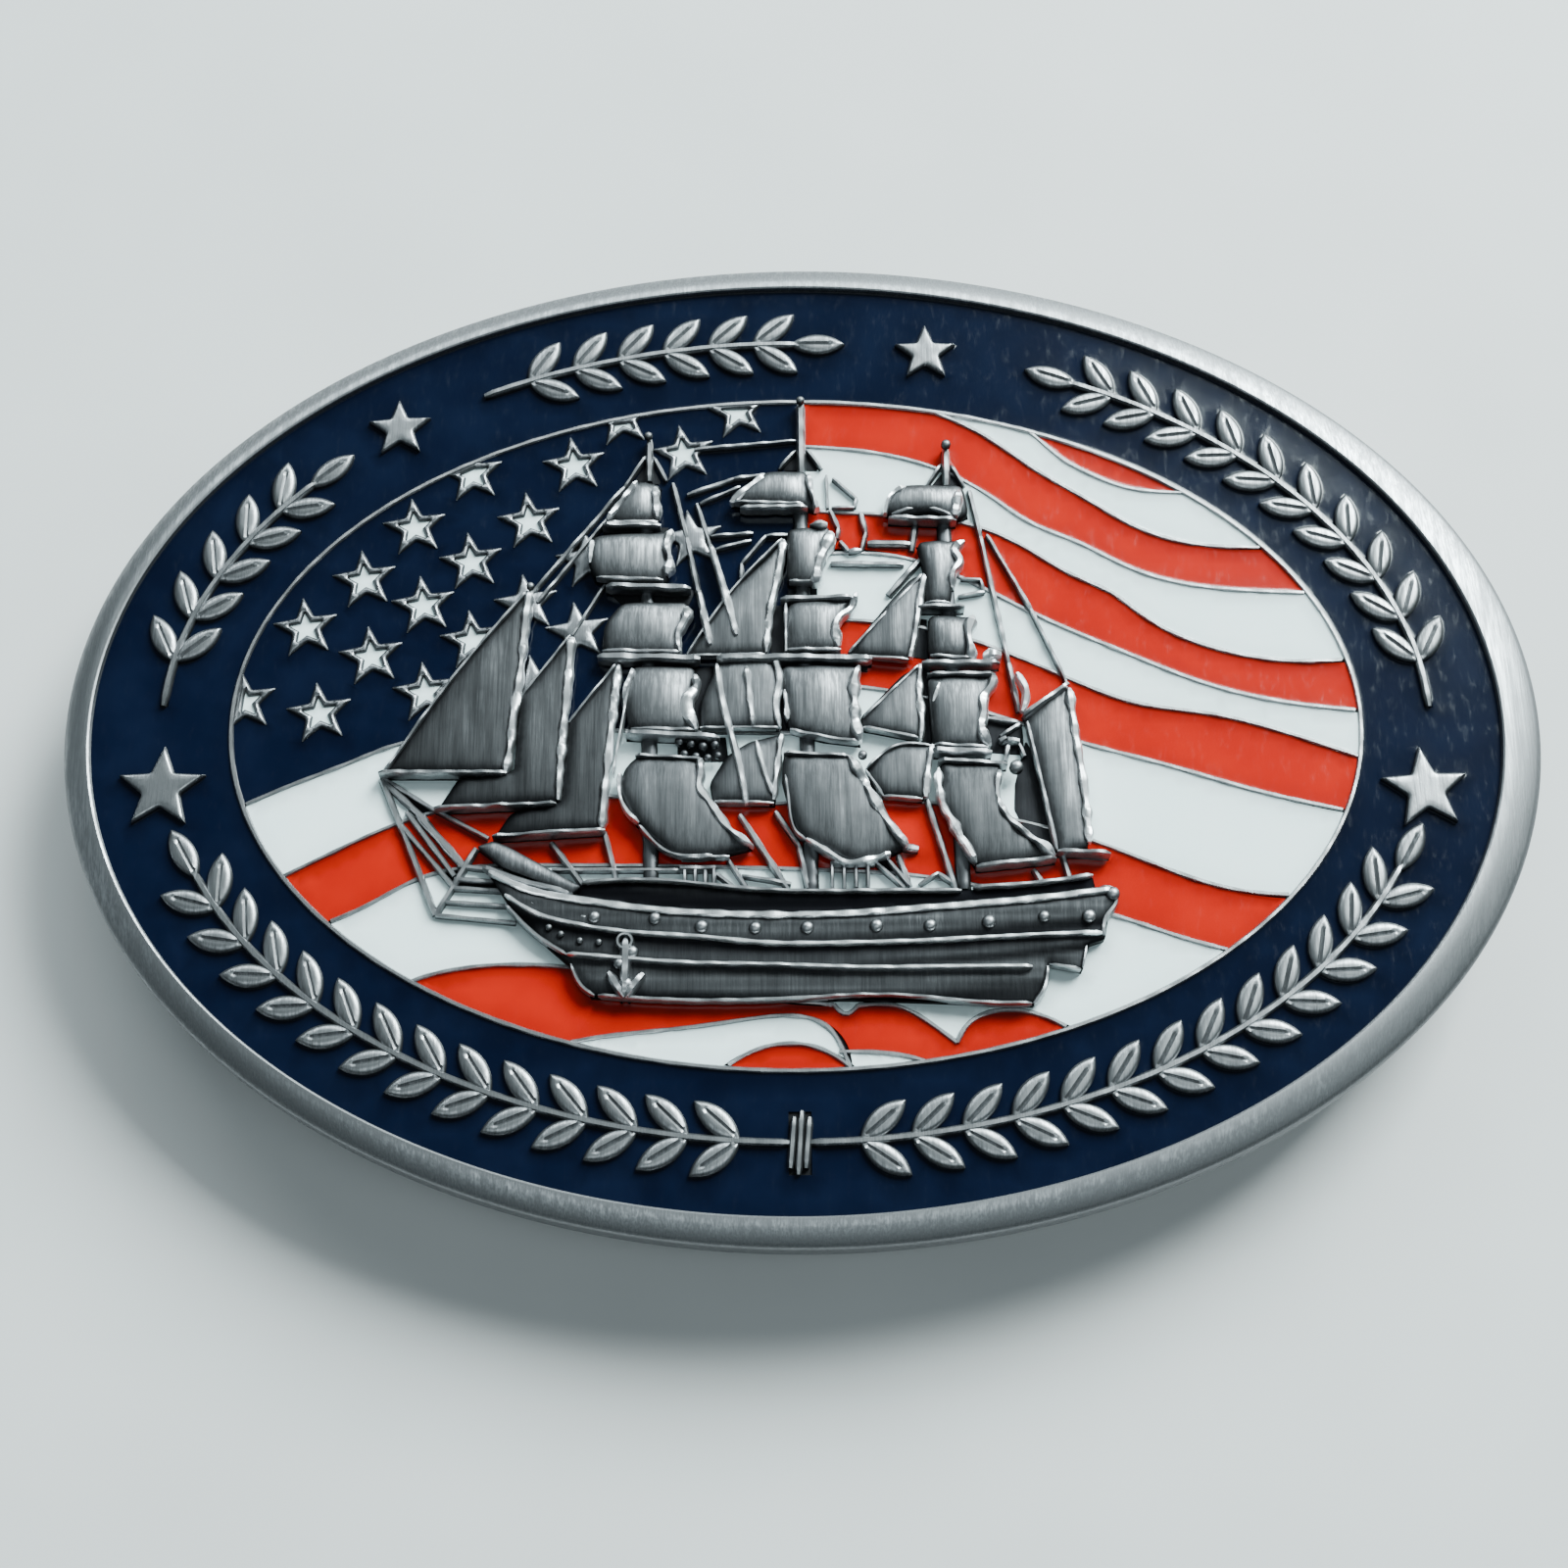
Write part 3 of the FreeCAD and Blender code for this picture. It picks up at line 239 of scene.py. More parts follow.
# ---------------------------------------------------------------- plane geometry
def smooth_path(points, step=0.25):
    """Evenly read points on the natural cubic through a few design points."""
    pts = np.array(points, float)
    if len(pts) == 2:
        count = max(2, int(np.hypot(*(pts[1] - pts[0])) / step) + 1)
        return pts[0] + np.linspace(0, 1, count)[:, None] * (pts[1] - pts[0])
    knots = np.concatenate([[0], np.cumsum(np.hypot(*np.diff(pts, axis=0).T))])
    gap = np.diff(knots)
    size = len(pts)
    system = np.eye(size)
    right = np.zeros((size, 2))
    for i in range(1, size - 1):
        system[i, i - 1:i + 2] = gap[i - 1], 2 * (gap[i - 1] + gap[i]), gap[i]
        right[i] = 6 * ((pts[i + 1] - pts[i]) / gap[i] - (pts[i] - pts[i - 1]) / gap[i - 1])
    bend = np.linalg.solve(system, right)
    at = np.linspace(0, knots[-1], max(3, int(knots[-1] / step) + 1))
    span = np.clip(np.searchsorted(knots, at, side="right") - 1, 0, size - 2)
    h = gap[span][:, None]
    before = (knots[span + 1] - at)[:, None]
    after = (at - knots[span])[:, None]
    return (bend[span] * before ** 3 / (6 * h) + bend[span + 1] * after ** 3 / (6 * h)
            + (pts[span] / h - bend[span] * h / 6) * before + (pts[span + 1] / h - bend[span + 1] * h / 6) * after)


def straight_path(points, step=0.25):
    """Points along a broken line, corners kept."""
    legs = []
    for start, end in zip(points[:-1], points[1:]):
        legs.append(smooth_path([start, end], step)[:-1])
    return np.vstack(legs + [np.array(points[-1:], float)])


def closed_loop(points, step=0.25, corner=0.0):
    """Evenly read points round an outline, its corners rounded by a small radius."""
    pts = [Vector(p) for p in points]
    loop = []
    for i, here in enumerate(pts):
        back = (pts[i - 1] - here)
        on = (pts[(i + 1) % len(pts)] - here)
        cut = min(corner, back.length * 0.45, on.length * 0.45)
        if cut < 0.02:
            loop.append(tuple(here))
            continue
        first = here + back.normalized() * cut
        last = here + on.normalized() * cut
        for t in (0, 0.33, 0.67, 1):
            loop.append(tuple(first * (1 - t) ** 2 + here * 2 * t * (1 - t) + last * t * t))
    return straight_path(loop + loop[:1], step)[:-1]


def ellipse_loop(a, b, count, x=0.0):
    """Evenly turned points round an oval."""
    turn = np.linspace(0, 2 * math.pi, count, endpoint=False)
    return np.stack([x + a * np.cos(turn), b * np.sin(turn)], 1)


def signed_area(loop):
    """Area of an outline, below zero when it runs clockwise."""
    x, y = loop[:, 0], loop[:, 1]
    return 0.5 * np.sum(x * np.roll(y, -1) - np.roll(x, -1) * y)


def inside(loops, points):
    """Which points lie inside a set of loops, holes counted out."""
    start = np.vstack(loops)
    end = np.vstack([np.roll(loop, -1, axis=0) for loop in loops])
    odd = np.zeros(len(points), bool)
    for k in range(0, len(points), 400):
        p = points[k:k + 400]
        above = (start[None, :, 1] > p[:, None, 1]) != (end[None, :, 1] > p[:, None, 1])
        rise = np.where(end[:, 1] == start[:, 1], 1, end[:, 1] - start[:, 1])
        cross = start[None, :, 0] + (p[:, None, 1] - start[None, :, 1]) * ((end - start)[:, 0] / rise)[None, :]
        odd[k:k + 400] = (above & (p[:, None, 0] < cross)).sum(1) % 2 == 1
    return odd


class Shore:
    """Distance and direction from any point to the nearest edge of an area."""

    def __init__(self, loops):
        dense = np.vstack([straight_path([tuple(p) for p in loop] + [tuple(loop[0])], 0.08) for loop in loops])
        self.tree = KDTree(len(dense))
        for i, p in enumerate(dense):
            self.tree.insert((p[0], p[1], 0), i)
        self.tree.balance()

    def measure(self, points):
        distance = np.zeros(len(points))
        toward = np.zeros((len(points), 2))
        for i, p in enumerate(points):
            found, _, gap = self.tree.find((p[0], p[1], 0))
            distance[i] = gap
            toward[i] = (found.x - p[0], found.y - p[1])
        return distance, toward / np.maximum(distance, 1e-4)[:, None]


def kept_faces(loops, flat, faces):
    """Triangles whose middle lies inside the loops, all facing up."""
    middles = np.array([flat[list(f)].mean(0) for f in faces])
    return [tuple(f) if cross_z(flat, f) > 0 else tuple(f)[::-1]
            for f, within in zip(faces, inside(loops, middles)) if within]


def fill(loops, spacing, rows):
    """Triangles over an area, with rows of points beside its edges and an even grid inside."""
    shore = Shore(loops)
    wall = np.vstack(loops)
    extra = []
    for loop in loops:
        ahead = np.roll(loop, -1, axis=0) - np.roll(loop, 1, axis=0)
        normal = np.stack([-ahead[:, 1], ahead[:, 0]], 1)
        normal /= np.maximum(np.hypot(*normal.T), 1e-6)[:, None]
        for row in rows:
            for side in (1, -1):
                extra.append((row, loop + normal * row * side))
    kept = []
    for row, points in extra:
        points = points[inside(loops, points)]
        if len(points):
            gap, _ = shore.measure(points)
            kept.append(points[gap > row * 0.9])
    low, high = wall.min(0), wall.max(0)
    xs = np.arange(low[0], high[0], spacing)
    ys = np.arange(low[1], high[1], spacing * 0.87)
    grid = np.array([(x + spacing / 2 * (j % 2), y) for j, y in enumerate(ys) for x in xs])
    if len(grid):
        grid = grid[inside(loops, grid)]
    if len(grid):
        gap, _ = shore.measure(grid)
        kept.append(grid[gap > rows[-1] + spacing * 0.45])
    points = np.vstack([wall] + [k for k in kept if len(k)])
    edges = []
    at = 0
    for loop in loops:
        edges += [(at + i, at + (i + 1) % len(loop)) for i in range(len(loop))]
        at += len(loop)
    made = delaunay_2d_cdt([Vector(p) for p in points], edges, [], 1, 1e-5)
    flat = np.array([tuple(v) for v in made[0]])
    return flat, kept_faces(loops, flat, made[2]), shore


def rim_edges(faces):
    """Edges used by one face only, in that face's direction."""
    seen = {}
    for face in faces:
        for i in range(len(face)):
            edge = (face[i], face[(i + 1) % len(face)])
            back = (edge[1], edge[0])
            if back in seen:
                del seen[back]
            else:
                seen[edge] = True
    return list(seen)


# ---------------------------------------------------------------- making pieces
def put(name, data):
    """New object in the scene that shows this data."""
    made = bpy.data.objects.new(name, data)
    bpy.context.scene.collection.objects.link(made)
    return made


def keep_values(mesh, key, numbers):
    """One number per point, kept under a name."""
    layer = mesh.attributes.new(key, "FLOAT", "POINT")
    layer.data.foreach_set("value", np.array(numbers, np.float32))


def make_piece(name, points, faces, material, slot, body="buckle", replaces=(), crease=38, values=None):
    """One named mesh on its body; values are numbers per point that the material reads."""
    mesh = bpy.data.meshes.new(name)
    mesh.from_pydata([(x * MM, y * MM, z * MM) for x, y, z in points], [], faces)
    mesh.update()
    mesh.shade_smooth()
    mesh.set_sharp_from_angle(angle=math.radians(crease))
    for key, numbers in (values or {}).items():
        keep_values(mesh, key, numbers)
    mesh.materials.append(material)
    piece = put(name, mesh)
    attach(piece, body)
    if replaces:
        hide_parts(*replaces)
    return piece


def bands(rings, steps, closed=False, turned=False):
    """Four-sided faces between rings of points; turned ones face the other way."""
    faces = []
    for i in range(rings if closed else rings - 1):
        a, b = i * steps, (i + 1) % rings * steps
        for k in range(steps):
            n = (k + 1) % steps
            faces.append((a + k, a + n, b + n, b + k) if turned else (a + k, b + k, b + n, a + n))
    return faces


class Heap:
    """Points and faces of several shapes that make one piece."""

    def __init__(self):
        self.points = []
        self.faces = []
        self.edge = []

    def add(self, points, faces, edge=None):
        start = len(self.points)
        self.points += [tuple(p) for p in points]
        self.faces += [tuple(start + i for i in face) for face in faces]
        self.edge += list(edge) if edge is not None else [0.0] * len(points)

    def piece(self, name, material, slot="pewter", **more):
        return make_piece(name, self.points, self.faces, material, slot, values={"edge": self.edge}, **more)


BEAD_SECTION = [(-1, 0), (-1, 0.55), (-0.85, 0.82), (-0.45, 0.98), (0.45, 0.98), (0.85, 0.82), (1, 0.55), (1, 0)]


def bead(heap, path, width, low, high, taper=0.5, wobble=0.0, shift=True, closed=False):
    """Half-round moulding along a flat path; low and high may be numbers or one number per point."""
    path = np.array(path, float)
    count = len(path)
    if closed:
        ahead = np.roll(path, -1, axis=0) - np.roll(path, 1, axis=0)
    else:
        ahead = np.gradient(path, axis=0)
    ahead /= np.maximum(np.hypot(*ahead.T), 1e-9)[:, None]
    side = np.stack([-ahead[:, 1], ahead[:, 0]], 1)
    lows = np.broadcast_to(np.asarray(low, float), (count,))
    highs = np.broadcast_to(np.asarray(high, float), (count,))
    move = DESIGN_X if shift else 0
    points = []
    for i, (x, y) in enumerate(path):
        grow = 1.0
        if not closed and taper < 1:
            end = min(i, count - 1 - i)
            grow = min(1.0, taper + (1 - taper) * end / 2)
        uneven = 1 + wobble * noise.noise(Vector((x * 1.3, y * 1.3, width * 9)))
        half = width / 2 * grow * uneven
        rise = (highs[i] - lows[i]) * (0.5 + 0.5 * grow) * (1 + wobble * 0.6 * noise.noise(Vector((x, y, 4))))
        for s, h in BEAD_SECTION:
            points.append((x + move + side[i, 0] * s * half, y + side[i, 1] * s * half, lows[i] + rise * h))
    ring = len(BEAD_SECTION)
    faces = bands(count, ring, closed)
    if not closed:
        faces.append(tuple(range(ring)))
        last = (count - 1) * ring
        faces.append(tuple(last + k for k in reversed(range(ring))))
    heap.add(points, faces)


def relief(heap, loops, low, top, spacing=0.4, rows=(0.07, 0.18), shift=True, shade=None):
    """Raised or poured shape: top(points, distance, toward) gives heights; walls go down to low."""
    loops = [loop if (signed_area(loop) > 0) == (i == 0) else loop[::-1] for i, loop in enumerate(loops)]
    flat, faces, shore = fill(loops, spacing, rows)
    gap, toward = shore.measure(flat)
    heights = top(flat, gap, toward)
    # edge values: patina at the seams by default; the hull, sail and enamel shade functions also put painted shade
    # into them
    edge = shade(flat, gap, toward) if shade else np.exp(-gap / 0.25)
    move = DESIGN_X if shift else 0
    count = len(flat)
    upper = [(x + move, y, z) for (x, y), z in zip(flat, heights)]
    rims = rim_edges(faces)
    foot = sorted({i for e in rims for i in e})
    place = {v: count + k for k, v in enumerate(foot)}
    lower = [(flat[v][0] + move, flat[v][1], low) for v in foot]
    walls = [(b, a, place[a], place[b]) for a, b in rims]
    made = delaunay_2d_cdt([Vector(flat[v]) for v in foot],
                           [(place[a] - count, place[b] - count) for a, b in rims], [], 1, 1e-6)
    ground = np.array([tuple(v) for v in made[0]])
    order = [count + made[3][i][0] for i in range(len(made[0]))]
    base = [tuple(order[i] for i in f[::-1]) for f in kept_faces(loops, ground, made[2])]
    heap.add(upper + lower, list(faces) + walls + base, list(edge) + [1.0] * len(lower))


def cross_z(flat, face):
    """Twice a triangle's area, below zero when it faces down."""
    a, b, c = flat[face[0]], flat[face[1]], flat[face[2]]
    return (b[0] - a[0]) * (c[1] - a[1]) - (b[1] - a[1]) * (c[0] - a[0])


def star_points(middle, radius, waist, lean):
    """Ten corners of a five-pointed star."""
    points = []
    for step in range(10):
        reach = radius if step % 2 == 0 else radius * waist
        turn = math.radians(90 + lean + 36 * step)
        points.append((middle[0] + reach * math.cos(turn), middle[1] + reach * math.sin(turn)))
    return points


# ---------------------------------------------------------------- materials
class Mix:
    """Small helper that adds and joins shader nodes."""

    def __init__(self, name):
        self.material = bpy.data.materials.new(name)
        self.material.use_nodes = True
        self.tree = self.material.node_tree
        self.shader = self.tree.nodes["Principled BSDF"]
        self.where = self.tree.nodes.new("ShaderNodeTexCoord").outputs["Object"]

    def node(self, kind, **settings):
        made = self.tree.nodes.new(kind)
        for key, value in settings.items():
            setattr(made, key, value)
        return made

    def join(self, source, target):
        self.tree.links.new(source, target)

    def noise(self, scale, detail=2.0, rough=0.5, stretch=(1, 1, 1)):
        place = self.node("ShaderNodeMapping")
        place.inputs["Scale"].default_value = stretch
        self.join(self.where, place.inputs["Vector"])
        made = self.node("ShaderNodeTexNoise")
        made.inputs["Scale"].default_value = scale
        made.inputs["Detail"].default_value = detail
        made.inputs["Roughness"].default_value = rough
        self.join(place.outputs["Vector"], made.inputs["Vector"])
        return made.outputs["Fac"]

    def ramp(self, source, stops):
        made = self.node("ShaderNodeValToRGB")
        for i, (at, colour) in enumerate(stops):
            element = made.color_ramp.elements[i] if i < 2 else made.color_ramp.elements.new(at)
            element.position = at
            element.color = colour if len(colour) == 4 else (*colour, 1)
        self.join(source, made.inputs["Fac"])
        return made.outputs["Color"]

    def span(self, source, low, high, out_low=0.0, out_high=1.0):
        made = self.node("ShaderNodeMapRange", interpolation_type="SMOOTHSTEP")
        made.inputs["From Min"].default_value = low
        made.inputs["From Max"].default_value = high
        made.inputs["To Min"].default_value = out_low
        made.inputs["To Max"].default_value = out_high
        self.join(source, made.inputs["Value"])
        return made.outputs["Result"]

    def maths(self, operation, a, b=0.5, clamp=False):
        made = self.node("ShaderNodeMath", operation=operation, use_clamp=clamp)
        for socket, value in zip(made.inputs, (a, b)):
            if isinstance(value, (int, float)):
                socket.default_value = value
            else:
                self.join(value, socket)
        return made.outputs["Value"]

    def blend(self, factor, a, b, kind="MIX"):
        made = self.node("ShaderNodeMix", data_type="RGBA", blend_type=kind)
        if isinstance(factor, (int, float)):
            made.inputs["Factor"].default_value = factor
        else:
            self.join(factor, made.inputs["Factor"])
        for socket, value in ((made.inputs["A"], a), (made.inputs["B"], b)):
            if isinstance(value, tuple):
                socket.default_value = value if len(value) == 4 else (*value, 1)
            else:
                self.join(value, socket)
        return made.outputs["Result"]

    def height(self, low, high):
        apart = self.node("ShaderNodeSeparateXYZ")
        self.join(self.where, apart.inputs["Vector"])
        return self.span(apart.outputs["Z"], low * MM, high * MM)

    def attribute(self, key):
        return self.node("ShaderNodeAttribute", attribute_name=key).outputs["Fac"]

    def bump(self, source, strength, depth_mm):
        made = self.node("ShaderNodeBump")
        made.inputs["Strength"].default_value = strength
        made.inputs["Distance"].default_value = depth_mm * MM
        self.join(source, made.inputs["Height"])
        self.join(made.outputs["Normal"], self.shader.inputs["Normal"])


def pewter(name, low, high, dark, middle, bright, streaks=0.5, roughness=(0.32, 0.52), edge_dark=0.0):
    """Antiqued casting: patina left low down, tops brushed bright along Y."""
    mix = Mix(name)
    fine = mix.noise(1.0, 3.0, 0.6, (9000, 330, 9000))
    broad = mix.noise(1.0, 2.0, 0.5, (2600, 160, 2600))
    cloud = mix.noise(420.0, 3.0, 0.6)
    lift = mix.height(low, high)
    strokes = mix.maths("ADD", mix.maths("MULTIPLY", mix.span(fine, 0.3, 0.7), 0.6),
                        mix.maths("MULTIPLY", mix.span(broad, 0.3, 0.7), 0.4))
    tone = mix.maths("MULTIPLY", lift, mix.maths("ADD", 1 - streaks, mix.maths("MULTIPLY", strokes, streaks)))
    tone = mix.maths("MULTIPLY", tone, mix.span(cloud, 0.15, 0.75, 0.72, 1.08), clamp=True)
    # The edge value darkens seams with patina; on the hull and sails it also carries painted shade.
    if edge_dark:
        edge = mix.maths("MULTIPLY", mix.attribute("edge"), edge_dark, clamp=True)
        tone = mix.maths("MULTIPLY", tone, mix.maths("SUBTRACT", 1.0, edge))
    colour = mix.ramp(tone, [(0.0, dark), (1.0, bright), (0.5, middle)])
    mix.join(colour, mix.shader.inputs["Base Color"])
    mix.join(mix.span(tone, 0.0, 1.0, roughness[1], roughness[0]), mix.shader.inputs["Roughness"])
    mix.shader.inputs["Metallic"].default_value = 1.0
    grain = mix.noise(9000.0, 2.0)
    mix.bump(mix.maths("ADD", fine, mix.maths("MULTIPLY", grain, 0.35)), 0.35, 0.02)
    return mix.material


def enamel(name, colour, deep_and_shaded, pale, roughness=0.1):
    """Poured soft enamel: deeper colour and painted shadow at the walls, faint clouds, specks and hair scratches."""
    mix = Mix(name)
    cloud = mix.noise(260.0, 3.0)
    specks = mix.span(mix.noise(2600.0, 1.0), 0.74, 0.8)
    body = mix.blend(mix.span(cloud, 0.3, 0.75), colour, pale)
    # edge values give deeper colour at the walls and painted shadow under the upper walls
    edge = mix.maths("MULTIPLY", mix.attribute("edge"), 1.0, clamp=True)
    body = mix.blend(edge, body, deep_and_shaded)
    body = mix.blend(mix.maths("MULTIPLY", specks, 0.25), body, pale)
    mix.join(body, mix.shader.inputs["Base Color"])
    scuff = mix.span(mix.noise(1.0, 4.0, 0.7, (1900, 700, 1900)), 0.5, 0.8, roughness, roughness + 0.1)
    mix.join(scuff, mix.shader.inputs["Roughness"])
    mix.shader.inputs["IOR"].default_value = 1.5
    mix.bump(mix.noise(900.0, 2.0), 0.25, 0.012)
    return mix.material


RIM_METAL = pewter("rim_pewter", ENAMEL_Z - 0.5, ENAMEL_Z - 0.1, (0.17, 0.172, 0.18), (0.24, 0.244, 0.254),
                   (0.42, 0.428, 0.442), 0.8, (0.34, 0.52))
WALL_METAL = pewter("wall_pewter", ENAMEL_Z - 0.1, WALL_Z, (0.03, 0.03, 0.032), (0.22, 0.22, 0.23),
                    (0.5, 0.5, 0.51), 0.3)
SAIL_METAL = pewter("sail_pewter", ENAMEL_Z - 0.3, ENAMEL_Z + 1.1, (0.006, 0.006, 0.007), (0.105, 0.107, 0.112),
                    (0.38, 0.386, 0.403), 0.55, (0.40, 0.6), 0.85)
JIB_METAL = pewter("jib_pewter", ENAMEL_Z - 0.3, ENAMEL_Z + 1.1, (0.006, 0.006, 0.007), (0.06, 0.061, 0.064),
                   (0.2, 0.203, 0.212), 0.6, (0.40, 0.6), 0.9)
HULL_METAL = pewter("hull_pewter", ENAMEL_Z - 0.3, ENAMEL_Z + 1.0, (0.004, 0.004, 0.005), (0.05, 0.051, 0.054),
                    (0.19, 0.192, 0.2), 0.5, (0.4, 0.62), 1.0)
BOSS_METAL = pewter("boss_pewter", ENAMEL_Z + 0.9, ENAMEL_Z + 1.4, (0.03, 0.03, 0.032), (0.2, 0.203, 0.21),
                    (0.5, 0.505, 0.52), 0.2, (0.36, 0.5))
# Bright base colour: rubbed high edges, and painted highlight on the edges that face the light.
RUBBED_AND_HIGHLIGHT_METAL = pewter("worn_edge_and_highlight_pewter", ENAMEL_Z - 0.1, ENAMEL_Z + 0.7, (0.06, 0.06, 0.065), (0.62, 0.625, 0.64),
                   (0.95, 0.96, 0.97), 0.3, (0.34, 0.5))
ROPE_METAL = pewter("rigging_pewter", ENAMEL_Z - 0.1, ENAMEL_Z + 0.5, (0.02, 0.02, 0.022), (0.2, 0.203, 0.21),
                    (0.42, 0.425, 0.44), 0.35, (0.34, 0.55))
PATINA = pewter("dark_patina", ENAMEL_Z - 1, ENAMEL_Z + 1, (0.006, 0.006, 0.007), (0.02, 0.02, 0.022),
                (0.05, 0.05, 0.053), 0.3, (0.5, 0.7))
DARK_METAL = pewter("dark_casting", ENAMEL_Z - 0.1, ENAMEL_Z + 0.6, (0.006, 0.006, 0.007), (0.04, 0.041, 0.044),
                    (0.13, 0.132, 0.14), 0.3, (0.42, 0.65))
BACK_METAL = pewter("back_pewter", BACK_Z - 1, BACK_Z + 1, (0.125, 0.125, 0.13), (0.232, 0.232, 0.242),
                    (0.36, 0.365, 0.38), 0.25, (0.42, 0.6))
WIRE_METAL = pewter("drawn_wire", -1, 1, (0.2, 0.2, 0.2), (0.42, 0.42, 0.43), (0.62, 0.62, 0.63), 0.4, (0.25, 0.4))
NAVY = enamel("navy_enamel", (0.0012, 0.0036, 0.0135), (0.0004, 0.001, 0.004), (0.0026, 0.0062, 0.0195), 0.12)
RED = enamel("red_enamel", (0.40, 0.0075, 0.002), (0.09, 0.002, 0.001), (0.46, 0.011, 0.003), 0.14)
WHITE = enamel("white_enamel", (0.84, 0.99, 0.99), (0.42, 0.48, 0.49), (0.88, 1.0, 1.0), 0.14)
STAR_METAL = pewter("flag_star_pewter", ENAMEL_Z - 0.1, WALL_Z + 0.14, (0.02, 0.02, 0.022), (0.12, 0.122, 0.13),
                    (0.34, 0.345, 0.36), 0.4)
ORNAMENT_METAL = pewter("border_ornament_pewter", ENAMEL_Z, RIM_Z + 0.04, (0.035, 0.035, 0.038),
                        (0.185, 0.188, 0.196), (0.43, 0.437, 0.45), 0.6)
BORDER_STAR_METAL = pewter("border_star_pewter", ENAMEL_Z, RIM_Z + 0.02, (0.04, 0.04, 0.044), (0.2, 0.203, 0.212),
                           (0.4, 0.407, 0.42), 0.7)
LUG_METAL = pewter("lug_pewter", -1, BACK_Z, (0.2, 0.2, 0.2), (0.34, 0.34, 0.345), (0.48, 0.48, 0.49), 0.25,
                   (0.4, 0.55))
STUD_METAL = pewter("turned_stud", -1, BACK_Z, (0.24, 0.24, 0.24), (0.4, 0.4, 0.41), (0.56, 0.56, 0.57), 0.2,
                    (0.25, 0.4))

# ---------------------------------------------------------------- worn edges and small parts of the ship
# Rolled edges of the square sails, painted bright as highlights where they catch the light: path, width.
SAIL_LIPS = [
    ([(-8.7, 15.2), (-8.5, 13.1)], 0.4), ([(-9.8, 15.5), (-11.6, 12.9)], 0.35),
    ([(-7.6, 12.2), (-7.9, 11), (-7.7, 10.2), (-7.9, 9.2)], 0.42), ([(-12.5, 11.5), (-12.6, 10)], 0.3),
    ([(-6.7, 7), (-6.6, 6.4), (-7.1, 5.3), (-7, 4)], 0.42),
    ([(-6.1, 2.4), (-6, 1.8), (-6.5, 1), (-6.6, 0.2), (-6.2, -0.6), (-6, -1.1)], 0.5),
    ([(-9.8, 2.8), (-10.3, 1), (-10.3, 0)], 0.22),
    ([(-5.8, -3), (-5.7, -4), (-5.8, -4.8), (-5.3, -5.6), (-4.7, -6.5), (-3.8, -7.6), (-2.6, -8.5)], 0.4),
    ([(-10.5, -3.9), (-10.5, -5), (-10.2, -6), (-9.3, -7)], 0.3), ([(-1.8, 16), (-4, 14.1)], 0.35),
    ([(0.9, 16), (1, 15), (1.4, 13.6)], 0.42), ([(2.2, 12), (1.9, 11), (1.5, 10), (1.3, 9), (1.3, 8.4)], 0.45),
    ([(0.9, 12.5), (2, 12.5)], 0.3), ([(3.7, 7.8), (3.3, 6.8), (2.7, 6.2), (2.4, 5.5), (2.6, 4.3)], 0.42),
    ([(-0.6, 7.2), (-0.6, 4)], 0.22), ([(3.8, 3), (3.5, 2), (3.5, 0.5), (3.5, -0.5), (3.8, -1.9)], 0.45),
    ([(-0.7, 1.5), (-0.5, -0.5)], 0.22), ([(3.1, -2.9), (3.9, -4.4), (4.6, -5.8), (5.6, -7.4), (6.4, -8.5)], 0.4),
    ([(0.5, -8.1), (1.6, -8.8), (3, -9.5), (4, -9.4), (5.4, -9)], 0.25),
    ([(10.4, 11.3), (9.8, 10.7), (10.1, 10), (9.7, 9.2), (9.6, 8.2)], 0.38),
    ([(10.8, 6.2), (10.5, 5.3), (10.5, 4.6), (10.7, 3.4)], 0.42), ([(11.3, 3.65), (12.4, 3.65)], 0.5),
    ([(11.9, 2.3), (11.7, 1.6), (11.2, 0.9), (11.2, 0), (11, -1), (11.5, -2.2)], 0.42),
    ([(8.6, 1.8), (8.2, 0.6)], 0.22),
    ([(12, -3.8), (11.8, -5.3), (12.1, -6.4), (12.9, -7.4), (13.9, -8.2), (15, -9.2)], 0.36),
    ([(8.4, -3.6), (8.6, -6), (9.2, -7.2), (10.4, -9.6)], 0.36), ([(9.9, 13.1), (10.2, 14.9)], 0.5),
    ([(5.6, 13.3), (5.9, 14.4), (6.9, 15.1)], 0.28),
]
# Foot ropes and the thin left edges that only just catch the light.
SAIL_FEET = [
    ([(-11.6, 12.75), (-8.5, 12.8)], 0.25), ([(-12.2, 9), (-8.1, 8.8)], 0.25), ([(-11.7, 4.1), (-7, 4)], 0.25),
    ([(-9.9, -1), (-6.1, -1.1)], 0.25), ([(-9.3, -7.1), (-7.4, -8.9), (-5, -9)], 0.25),
    ([(-6.8, -9.2), (-4, -9.1)], 0.22), ([(-3.8, 14.15), (0.5, 14)], 0.25), ([(-0.4, 8.7), (1.2, 8.6)], 0.22),
    ([(-0.7, 4.1), (2.7, 4.1)], 0.22), ([(-0.4, -1.1), (1.6, -1.6), (3.7, -1.9)], 0.25),
    ([(-0.7, -4), (-0.5, -5.7), (0.1, -7.8), (0.5, -8.1)], 0.22), ([(6, 13.3), (8.6, 13.6), (9.8, 13)], 0.25),
    ([(7.9, 7.2), (9.4, 7.2)], 0.22), ([(8.1, 3.7), (10.6, 3.5)], 0.22), ([(8.2, -2.1), (11.4, -2.3)], 0.25),
    ([(10.5, -9.8), (12, -9.6), (15, -9.3)], 0.3),
]
